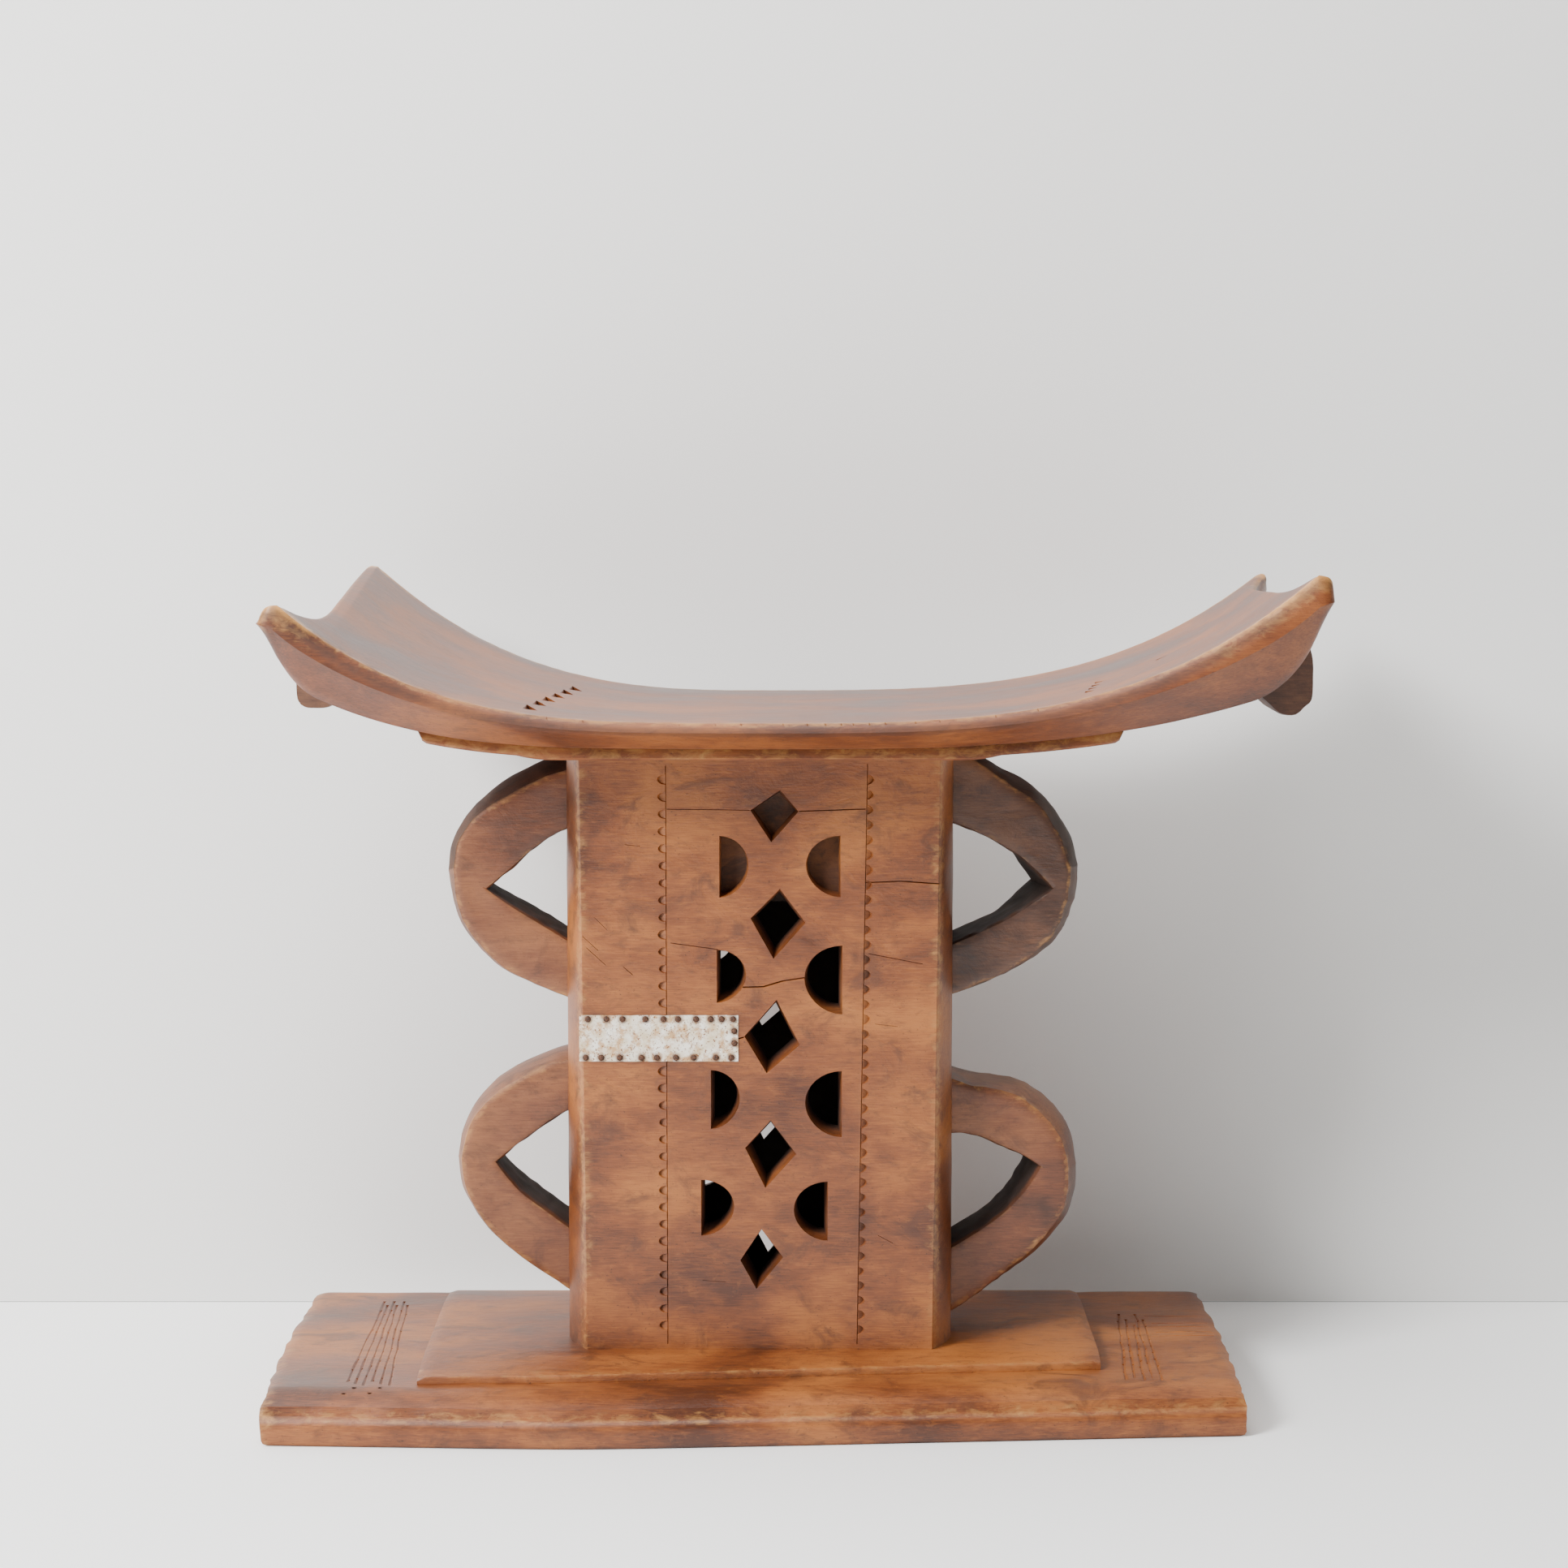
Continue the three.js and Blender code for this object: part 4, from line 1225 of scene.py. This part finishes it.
def loops(warm: bpy.types.Material, dark: bpy.types.Material) -> list[Loop]:
    """The four loop handles with their own outlines.

    Args:
        warm: the finish of three of them, here a darker copy of the wood that paints the shade
            they hang in.
        dark: the finish of the upper right one, a darker copy still, for the painted shade on that
            side.

    Returns:
        The loops, from the upper left.
    """
    return [
        Loop("upper_left_loop_wood", "upper_left_loop", Side.LEFT, warm,
             ((-99, 343), (-116, 339), (-137, 328), (-154, 313), (-164, 296), (-166, 281),
              (-163.2, 264.3), (-156.9, 249), (-140.5, 231), (-121.5, 220.9), (-99, 211.9)),
             ((-99, 336.6), (-113, 332), (-131, 323), (-148, 312.5), (-158.3, 299), (-161.4, 284),
              (-159.5, 266), (-153.5, 251), (-138, 233.5), (-120, 223.4), (-99, 214.5)),
             ((-99, 306.2), (-110, 300.5), (-120, 293.2), (-131, 283.6), (-143.9, 272.9),
              (-131, 264.3), (-116, 255.2), (-99, 244.6)), 4, 5, -3.6, lumps=0.7, crown_shade=0.62),
        Loop("lower_left_loop_wood", "lower_left_loop", Side.LEFT, warm,
             ((-99, 186.6), (-115.2, 181.8), (-138.4, 169.9), (-152.4, 155.4), (-159.5, 141),
              (-161.9, 127), (-159.3, 109.8), (-147.7, 90.3), (-131.2, 74.7), (-116, 64),
              (-99, 53.4)),
             ((-99, 182.2), (-113, 178), (-132, 168.8), (-145.5, 158), (-154, 146), (-158.4, 129),
              (-155.8, 112), (-145, 93), (-129, 77.6), (-114.5, 67), (-99, 56.4)),
             ((-99, 156), (-110, 149.6), (-119.1, 143.1), (-130, 135), (-139.9, 127),
              (-133, 118), (-125.8, 110.3), (-113, 100.6), (-99, 90)), 4, 5, -3.2,
             lumps=0.5, crown_shade=0.12),
        Loop("upper_right_loop_wood", "upper_right_loop", Side.RIGHT, dark,
             ((99, 347.6), (117.2, 341.7), (128, 335.2), (141, 328.7), (153.6, 317.4), (165, 300),
              (169.6, 284), (168.2, 268), (163.6, 254.2), (156.3, 242.4), (141.4, 231.4),
              (122.4, 222.2), (99, 214)),
             ((99, 346.8), (113, 341), (124, 333.5), (137, 325), (148, 316), (158.6, 299),
              (163.3, 284.5), (162.5, 270), (158.8, 257), (152.2, 246), (138.8, 234.5),
              (121, 224.6), (99, 216)),
             ((99, 309), (112, 303.8), (125.5, 297), (140, 287.4), (154.6, 272.8), (144, 266),
              (130.1, 257.4), (115, 250.2), (99, 243)), 4, 6, 9.0, lumps=1.8, crown_shade=0.6),
        Loop("lower_right_loop_wood", "lower_right_loop", Side.RIGHT, warm,
             ((99, 174), (112.4, 170.2), (135.5, 167.6), (148.1, 161.8), (158.7, 152.4),
              (166.2, 139.9), (169.6, 122.7), (168.6, 106.2), (162.6, 91.6), (148.3, 75.6),
              (129.4, 61.4), (113, 49.4), (99, 40.6)),
             ((99, 172.8), (111, 168.6), (131, 164.6), (143, 158), (152.5, 149), (160.2, 137.5),
              (163.6, 122.7), (162.6, 108), (157.2, 95), (144.4, 79.8), (127, 65.6),
              (111.5, 53.6), (99, 44.5)),
             ((99, 142.6), (115.2, 140.8), (127.8, 135.3), (140, 130), (148.7, 124.4),
              (141, 112.5), (131, 101.6), (118, 91.5), (99, 79.6)), 4, 6, 5.0,
             lumps=0.9, crown_shade=0.15),
    ]


# ---------------------------------------------------------------- seat


@dataclass(frozen=True)
class SeatEnd:
    """One end of the seat, with a horn at its front corner and one at its back."""

    front: float        # reach of the front horn, the hollowed middle and the back horn
    middle: float
    back: float
    front_rise: float   # how high the edges climb, how late, and where they stop
    back_rise: float
    front_power: float
    back_power: float
    front_peak: float
    back_peak: float
    turn_under: float   # share by which the crease fades towards the end
    round_below: float
    jut: float          # how far the crease stands out past the arris at the end
    heel: float         # the same for the lower edge
    run: float          # length of the end, from the panel's end outwards
    under_power: float  # how late the underside climbs
    foot: float         # height of the lug's foot


@dataclass
class Seat:
    """The crescent seat, the panel under it and the lugs under its ends."""

    finish: bpy.types.Material
    # darker copy of the wood, which paints the shade on the lugs under the seat's ends
    shaded_finish: bpy.types.Material
    half_depth: float = 118.0
    half_under: float = 106.0
    crown: float = 3.4
    underside: float = 354.0
    top: float = 368.5
    panel: Flat = (172.0, 184.0)    # its reach to the left and to the right
    panel_half: float = 98.6
    panel_low: float = 348.0
    end_climb: float = 9.3          # how far the underside has climbed at the panel's ends
    left_end: SeatEnd = SeatEnd(248.5, 224, 223, 66.9, 77, 3.5, 2.8, 427.4, 438.4, 0.8,
                                23, 2.4, 6.5, 72, 4, 368.9)
    right_end: SeatEnd = SeatEnd(286.5, 271, 283, 81, 69, 3.3, 3.4, 442.4, 437.0, 0.25,
                                 34, 0.6, 2.0, 94, 3.2, 365.3)
    round_above: float = 6.0

    def end(self, x: float) -> SeatEnd:
        """The end on one side."""
        return self.left_end if x < 0 else self.right_end

    def reach(self, side: float, y: float) -> float:
        """Reach of the seat's top edge.

        Args:
            side: negative for the left end.
            y: the depth.

        Returns:
            How far out it is from the column's axis.
        """
        end = self.end(side)
        share = min(abs(y) / self.half_depth, 1.0)
        return end.middle + ((end.front if y < 0 else end.back) - end.middle) * share**5

    def top_z(self, x: float, y: float) -> float:
        """Height of the seat's top surface.

        Args:
            x, y: the place on it.

        Returns:
            Z.
        """
        end = self.end(x)
        share = y / (2 * self.half_depth) + 0.5
        front = self.top + end.front_rise * (abs(x) / end.front) ** end.front_power
        back = self.top + end.back_rise * (abs(x) / end.back) ** end.back_power
        front, back = min(front, end.front_peak), min(back, end.back_peak)
        return front + (back - front) * share

    def under_z(self, x: float) -> float:
        """Height of the seat's underside."""
        share = abs(x) / (self.panel[0] if x < 0 else self.panel[1])
        return self.underside + self.end_climb * share ** self.end(x).under_power

    def soften(self, ring: list[Point], to_end: float) -> list[Point]:
        """Rounds a section near the seat's end, more below than above.

        Args:
            ring: the section's points.
            to_end: how far the section is from the very end, in millimetres.

        Returns:
            The softened section.
        """
        def fall(radius: float) -> float:
            """How far an arc of this radius has fallen away here."""
            into = max(0.0, radius - to_end)
            return radius - math.sqrt(max(0.0, radius**2 - into**2))

        above, below = fall(self.round_above), fall(self.end(ring[0][0]).round_below)
        made = []
        for x, y, z in ring:
            low, high = self.under_z(x), self.top_z(x, y)
            share = min(1.0, max(0.0, (z - low) / max(high - low, 1.0)))
            y *= 1 - above * 0.8 / self.half_depth
            made.append((x, y, z + below * (1 - share) ** 1.5 - above * share**1.5))
        return made

    def section(self, x: float, share: float) -> list[Point]:
        """One section, upright to the panel's ends and leaning with the hollowed end beyond.

        Args:
            x: where the section stands before it leans.
            share: 0 at the panel and 1 at the very end.

        Returns:
            The section's points.
        """
        side = -1 if x < 0 else 1

        def at(y: float, extra: float = 0.0) -> float:
            """X on this section at a depth."""
            return x + share * (side * (self.reach(side, y) + extra) - x)

        ring: list[Point] = []
        for i in range(33):
            y = -self.half_under + 2 * self.half_under * i / 32
            here = at(y, self.end(side).heel * abs(y / self.half_under) ** 6)
            ring.append((here, y, self.under_z(here) + 0.25 * (1 + rough(here, y, 0, 30, 3))))
        for face in (1, -1):
            rim = face * self.half_depth
            heel_x = at(face * self.half_under, self.end(side).heel)
            low, high = self.under_z(heel_x), self.top_z(at(rim), rim)
            fade = self.end(side).turn_under * share**2
            crown = self.crown * (1 - fade)
            heel = (heel_x, face * (self.half_under + 5 * fade), low)
            ridge = (at(rim, self.end(side).jut), face * (self.half_depth + crown),
                     low + (high - low) * 0.66)
            arris = (at(rim), rim, high)
            band = []
            for k in range(1, 7):
                t = k / 7
                band.append(tuple(np.array(heel) + (np.array(ridge) - heel) * t))
            band.append(ridge)
            for k in range(1, 5):
                t = k / 5
                p = np.array(ridge) + (np.array(arris) - ridge) * t
                p[1] += face * 0.5 * math.sin(math.pi * t)
                band.append(tuple(p))
            dent = 0.9 * max(0.0, rough(at(rim), 0, 0, 7, 4.1 * face))
            dent += 1.3 * max(0.0, rough(at(rim), 0, 0, 3.1, 2.7)) * (face > 0) * (share > 0.8)
            band.append((arris[0], arris[1] - face * (0.35 + dent), arris[2] - 0.25 - dent))
            if face == 1:
                ring += band
                for i in range(33):
                    y = (self.half_depth - 1.3) * (1 - i / 16)
                    here = at(y)
                    wave = 0.2 * rough(here * 0.3, y, 0, 24, 6)
                    ring.append((here, y, self.top_z(here, y) - 0.25 + wave * (abs(y) < 112)))
            else:
                ring += band[::-1]
        to_end = (1 - share) * self.end(x).run
        plain = [(float(a), float(b), float(c)) for a, b, c in ring]
        return self.soften(plain, to_end) if share > 0 else plain

    def build_seat(self) -> bpy.types.Object:
        """Builds the seat and chips its edges.

        Returns:
            The seat.
        """
        rings = []
        shares = [math.sin(0.5 * math.pi * i / 56) for i in range(1, 57)]
        for share in reversed(shares):
            rings.append(self.section(-self.panel[0], share))
        for i in range(101):
            rings.append(self.section(-self.panel[0] + sum(self.panel) * i / 100, 0.0))
        for share in shares:
            rings.append(self.section(self.panel[1], share))
        seat = rings_piece("seat_wood", rings, lambda start: strip_cap(start, 33, 12, 12))
        carve(seat, self.chips())
        smooth(seat)
        return seat

    def chips(self) -> list[bpy.types.Object]:
        """Nicks along the front arris, and rows of triangles cut in the seat's top.

        Returns:
            The tools.
        """
        made = []
        places = [-40, -22, -9, 12, 24, 33, 41, 47, 55, 63, 78, 90, -88, -106, 118, 139, -150]
        for i, x in enumerate(places):
            z = self.top_z(x, -self.half_depth)
            size = 1.6 + 1.1 * abs(rough(i, 0, 0, 1.3, 5))
            y = -self.half_depth - 0.2
            ring = [(x - size, y - 1.2, z + 1), (x + size * 0.7, y - 1.2, z + 1.2),
                    (x + size * 0.4, y - 1.0, z - 1.9)]
            deep = [(x - size * 0.5, y + 1.5, z + 1), (x + size * 0.5, y + 1.5, z + 1.2),
                    (x + size * 0.2, y + 0.4, z - 0.8)]
            made.append(rings_piece(f"chip{i}", [ring, deep]))
        marks = [(-120 + 3.2 * i, -96 + 25 * i, 8.0, 20.0) for i in range(6)]
        marks += [(165 + 2.8 * i, -85 + 13.5 * i, 5.5, 8.0) for i in range(4)]
        marks.append((206, -33, 7.0, 4.0))
        for i, (x, y, wide, long) in enumerate(marks):
            corners = [(x, y), (x + wide, y + 1), (x + 1, y + long)]
            high = [(a, b, self.top_z(a, b) + 1.0) for a, b in corners]
            depths = [3.0 if a < x + 0.5 * wide else 0.8 for a, _ in corners]
            low = [(a + (x + wide - a) * 0.2, b, self.top_z(a, b) - depth)
                   for (a, b), depth in zip(corners, depths)]
            made.append(rings_piece(f"mark{i}", [high, low]))
        return made

    def build_panel(self) -> bpy.types.Object:
        """Builds the low panel that the column carries.

        Returns:
            The panel.
        """
        rings, steps = [], 180
        for i in range(steps + 1):
            x = -self.panel[0] + sum(self.panel) * i / steps
            upper = self.under_z(x) + 0.6
            t = min(1.0, max(0.0, (abs(x) - 100) / 22)) ** 2
            lower = max(self.panel_low, self.panel_low + (upper - 6.6 - self.panel_low) * t)
            to_end = min(x + self.panel[0], self.panel[1] - x)
            lower += 5.0 - math.sqrt(max(0.0, 25.0 - max(0.0, 5.0 - to_end) ** 2))
            half = [(self.panel_half - 1.0, upper), (self.panel_half - 0.2, upper - 1.4),
                    (self.panel_half, lower + 1.2), (self.panel_half - 1.2, lower), (50, lower)]
            section = [(-y, z) for y, z in half] + [(0, lower)] + half[::-1]
            rings.append([(x, y + 0.25 * rough(x, y, z, 15, 2), z) for y, z in section])
        panel = rings_piece("under_seat_panel_wood", rings)
        smooth(panel)
        return panel

    def build_lug(self, side: Side) -> bpy.types.Object:
        """Builds the lug under one end, rising into the seat.

        Args:
            side: which end.

        Returns:
            The lug.
        """
        s = side.value
        outer = self.reach(s, 0) + 18.7
        foot = self.end(s).foot
        inner = outer - 17
        line = [(outer - 1.5, self.under_z(s * (outer - 20)) + 15), (outer, 393), (outer, 377),
                (outer - 1.2, 372), (outer - 4.2, 369.4), (outer - 9, foot), (inner, foot + 0.6),
                (inner - 6, foot + 5.5), (inner - 16, foot + 15), (inner - 24, foot + 25),
                (inner - 20, foot + 34)]
        dense = [along(line, i / 40) for i in range(41)]
        hub_x, hub_z = outer - 16, 388
        rings = []
        for k in range(13):
            t = k / 12
            y = -29.7 + 59.4 * t
            keep = 1 - 0.0315 * (1 - min(1.0, min(t, 1 - t) * 12)) ** 2
            ring = []
            for x, z in dense:
                cut = abs(0.25 * rough(x, y, z, 10, 5 * s))
                ring.append((s * (hub_x + (x - hub_x) * keep - cut), y,
                             hub_z + (z - hub_z) * keep))
            rings.append(ring)
        lug = rings_piece(f"{side.name.lower()}_grip_lug_wood", rings)
        smooth(lug)
        return lug

    def build(self) -> None:
        """Builds and dresses the seat, the panel and the lugs."""
        seat = self.build_seat()

        def seat_wear(x: float, y: float, z: float) -> float:
            """Rubbed golden along the arrises and over the horns.

            Args:
                x, y, z: the place, in the carver's millimetres.

            Returns:
                The amount.
            """
            gap = abs(z - self.top_z(x, y))
            near = max(0.0, 1 - gap / 2.6) * (abs(y) > 115.5)
            reach = self.reach(x, y)
            width = 30 if x < 0 else 78
            horn = max(0.0, (abs(x) - reach + width) / width) ** 0.8
            horn *= max(0.0, 1 - gap / 15) * (abs(y) > 110)
            end = max(0.0, 1 - (reach - abs(x)) / 5) * (gap < 5)
            return 0.42 * near + (0.62 if x < 0 else 0.5) * horn + 0.4 * end

        def seat_dark_band_and_shade(x: float, y: float, z: float) -> float:
            """A pitted dark band under the arris, and painted shade under the seat.

            Args:
                x, y, z: the place, in the carver's millimetres.

            Returns:
                The amount.
            """
            # painted shade on the underside
            if z < self.under_z(x) + 1.0:
                return 0.25
            # a pitted dark band a few millimetres under the top arris
            under = self.top_z(x, y) - z
            return 0.42 * math.exp(-((under - 5) / 3.2) ** 2) * (abs(y) > 117)

        paint(seat, "wear", seat_wear)
        paint(seat, "stain_and_shade", seat_dark_band_and_shade)
        dress(seat, self.finish, "carved_wood", "seat")
        panel = self.build_panel()
        paint(panel, "wear",
              lambda x, y, z: 0.25 * math.exp(-((abs(y) - self.panel_half) / 0.6) ** 2))
        # painted shade in the crease along the panel's top under the seat, and a trace elsewhere
        paint(panel, "stain_and_shade", lambda x, y, z: 0.5 if z > self.under_z(x) - 0.2 else 0.05)
        dress(panel, self.finish, "carved_wood", "under_seat_panel")
        for side in Side:
            lug = self.build_lug(side)
            paint(lug, "wear", lambda x, y, z: 0.0)
            # a little painted shade all over the lugs, which also take the shaded copy of the wood
            paint(lug, "stain_and_shade", lambda x, y, z: 0.25)
            dress(lug, self.shaded_finish, "carved_wood", f"{side.name.lower()}_grip_lug")


# ---------------------------------------------------------------- repair


@dataclass
class Repair:
    """The tin plate and the tacks that hold it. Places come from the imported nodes."""

    tin: bpy.types.Material
    iron: bpy.types.Material
    thickness: float = 0.6

    def find_tacks(self) -> list[tuple[str, Vector]]:
        """Finds the tacks in the frame.

        Returns:
            Their names with the middles of their heads, in metres.
        """
        found = []
        for name in sorted(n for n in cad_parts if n.startswith("repair_tack_")):
            low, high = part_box(name)
            found.append((name, Vector(((low.x + high.x) / 2, low.y, (low.z + high.z) / 2))))
        return found

    def build_plate(self) -> None:
        """Builds the plate as thin sheet with dents and snipped edges."""
        low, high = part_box("repair_plate")
        x0, x1 = low.x / MM - AXIS_X, high.x / MM - AXIS_X
        z0, z1 = low.z / MM, high.z / MM
        back = high.y / MM
        cols, rows = 110, 34
        points, faces = [], []
        for layer in (0, 1):
            for j in range(rows + 1):
                for i in range(cols + 1):
                    u, v = i / cols, j / rows
                    x, z = x0 + (x1 - x0) * u, z0 + (z1 - z0) * v
                    x += 0.5 * abs(rough(0, 0, z, 2.2, 4)) * max(0.0, 1 - u * 14)
                    x -= 0.4 * abs(rough(0, 0, z, 7, 1)) * max(0.0, u * 14 - 13)
                    z -= 0.3 * abs(rough(x, 0, 0, 9, 3)) * max(0.0, v * 9 - 8)
                    z += 0.3 * abs(rough(x, 0, 0, 11, 5)) * max(0.0, 1 - v * 9)
                    dent = 0.16 * (1 + rough(x, 0, z, 8, 2))
                    y = back - 0.02 if layer else back - self.thickness + dent * 0.8
                    points.append((x, y, z))
        size = (rows + 1) * (cols + 1)
        for layer in (0, 1):
            for j in range(rows):
                for i in range(cols):
                    a = layer * size + j * (cols + 1) + i
                    faces.append((a, a + 1, a + cols + 2, a + cols + 1))
        rim = list(range(cols + 1))
        rim += [(r + 1) * (cols + 1) - 1 for r in range(1, rows + 1)]
        rim += [rows * (cols + 1) + c for c in range(cols - 1, -1, -1)]
        rim += [r * (cols + 1) for r in range(rows - 1, 0, -1)]
        for a, b in zip(rim, rim[1:] + rim[:1]):
            faces.append((a, b, b + size, a + size))
        plate = mesh_piece("repair_plate_tin", np.array(points), faces)
        smooth(plate, math.radians(50))
        heads = np.array([(p.x / MM - AXIS_X, p.z / MM) for _, p in self.find_tacks()])

        def ring_of_rust(x: float, y: float, z: float) -> float:
            """Rust that has bled from each tack."""
            gap = np.min(np.hypot(heads[:, 0] - x, heads[:, 1] - z))
            return 0.75 * math.exp(-((gap - 1.6) / 0.9) ** 2)

        paint(plate, "stain_and_shade", ring_of_rust)
        dress(plate, self.tin, "painted_tin", "repair_plate")

    def build_tack(self, name: str, place: Vector, seed: int) -> None:
        """Builds one tack with a hammered head and a round shank.

        Args:
            name: the CAD node that it stands for.
            place: the front of its head, in metres.
            seed: makes its hammer marks its own.
        """
        x0, y0, z0 = place.x / MM - AXIS_X, place.y / MM, place.z / MM
        sides = 20
        profile = [(0.05, 0.0), (0.55, 0.03), (1.0, 0.16), (1.35, 0.36), (1.56, 0.62),
                   (1.6, 0.86), (1.46, 0.97), (0.45, 0.99), (0.42, 5.4), (0.05, 6.9)]
        rings = []
        for radius, depth in profile:
            ring = []
            for i in range(sides):
                turn = 2 * math.pi * i / sides
                dint = 1 + 0.07 * rough(math.cos(turn) * 2, depth, math.sin(turn) * 2, 1.1,
                                        seed * 1.7)
                ring.append((x0 + radius * dint * math.cos(turn), y0 + depth,
                             z0 + radius * dint * math.sin(turn)))
            rings.append(ring)
        tack = rings_piece(name + "_iron", rings)
        smooth(tack, math.radians(45))
        dress(tack, self.iron, "rusty_iron", name)

    def build(self) -> None:
        """Builds the plate and every tack."""
        self.build_plate()
        for seed, (name, place) in enumerate(self.find_tacks()):
            self.build_tack(name, place, seed + 1)


# ---------------------------------------------------------------- studio


@dataclass
class Studio:
    """Pale floor and wall, soft light from the left and front, and the camera."""

    eye: Point = (-3.8, -1935.0, 514.0)
    pitch: float = math.radians(90 - 5.534)
    lens: float = 83.85
    wall: float = 0.19      # metres behind the column's axis

    def place_camera(self) -> None:
        """Places the camera before anything is built."""
        data = bpy.data.cameras.new("camera")
        data.lens, data.sensor_width = self.lens, 36.0
        camera = bpy.data.objects.new("camera", data)
        camera.location = [v * MM for v in self.eye]
        camera.rotation_euler = (self.pitch, 0.0, 0.0)
        bpy.context.scene.collection.objects.link(camera)
        bpy.context.scene.camera = camera

    def build(self) -> None:
        """Builds the stage and its lights, with the floor a hair below the slab."""
        low, wall, wide = -0.3 * MM, self.wall, 3.0
        for name, corners, shade in (
                ("floor", [(-wide, -2.6, low), (wide, -2.6, low), (wide, wall, low),
                           (-wide, wall, low)], "#FDFDFC"),
                ("wall", [(-wide, wall, 0), (wide, wall, 0), (wide, wall, 3),
                          (-wide, wall, 3)], "#E9E8E6")):
            mesh = bpy.data.meshes.new(name)
            mesh.from_pydata(corners, [], [(0, 1, 2, 3)])
            sheet = bpy.data.objects.new(name, mesh)
            mesh.materials.append(Paper(name + "_paper", shade).make())
            bpy.context.scene.collection.objects.link(sheet)
        for name, place, size, power in (("key", (-1.6, -1.5, 1.6), 0.8, 116.0),
                                         ("fill", (1.7, -2.1, 1.1), 1.8, 1.0),
                                         ("top", (-0.4, -0.6, 2.2), 1.4, 40.0)):
            light = bpy.data.lights.new(name, "AREA")
            light.size, light.energy = size, power
            lamp = bpy.data.objects.new(name, light)
            lamp.location = place
            lamp.rotation_euler = (Vector((0, 0, 0.2)) - Vector(place)).to_track_quat(
                "-Z", "Y").to_euler()
            bpy.context.scene.collection.objects.link(lamp)
        world = bpy.data.worlds.new("room")
        world.use_nodes = True
        air = world.node_tree.nodes["Background"].inputs
        air[0].default_value, air[1].default_value = srgb("#EDEDEB"), 0.25
        bpy.context.scene.world = world


def main() -> None:
    """Builds the stool."""
    logging.basicConfig(level=logging.INFO, format="%(name)s %(message)s")
    studio = Studio()
    studio.place_camera()
    warm = CarvedWood("carved_wood").make()
    # a darker copy of the wood, painted shade for the upper right loop and the lugs under the seat
    dark = CarvedWood("carved_wood_shaded", dark="#331A0D", middle="#51301D", light="#6E472C",
                      stain="#2A1914").make()
    # a darker copy of the wood, painted shade for the loops that hang under the seat
    shaded_loop_wood = CarvedWood("carved_wood_loops", dark="#3E1F0F", middle="#66371D",
                        light="#84512D").make()
    golden = CarvedWood("carved_wood_handled", dark="#431F0B", middle="#673314", light="#8C4F21",
                        stain_amount=0.35, roughness=0.43, coat=0.14).make()
    Base(warm).build()
    Column(warm).build()
    for loop in loops(shaded_loop_wood, dark):
        loop.build()
    Seat(golden, dark).build()
    Repair(PaintedTin().make(), RustyIron().make()).build()
    studio.build()


if __name__ == "__main__":
    main()
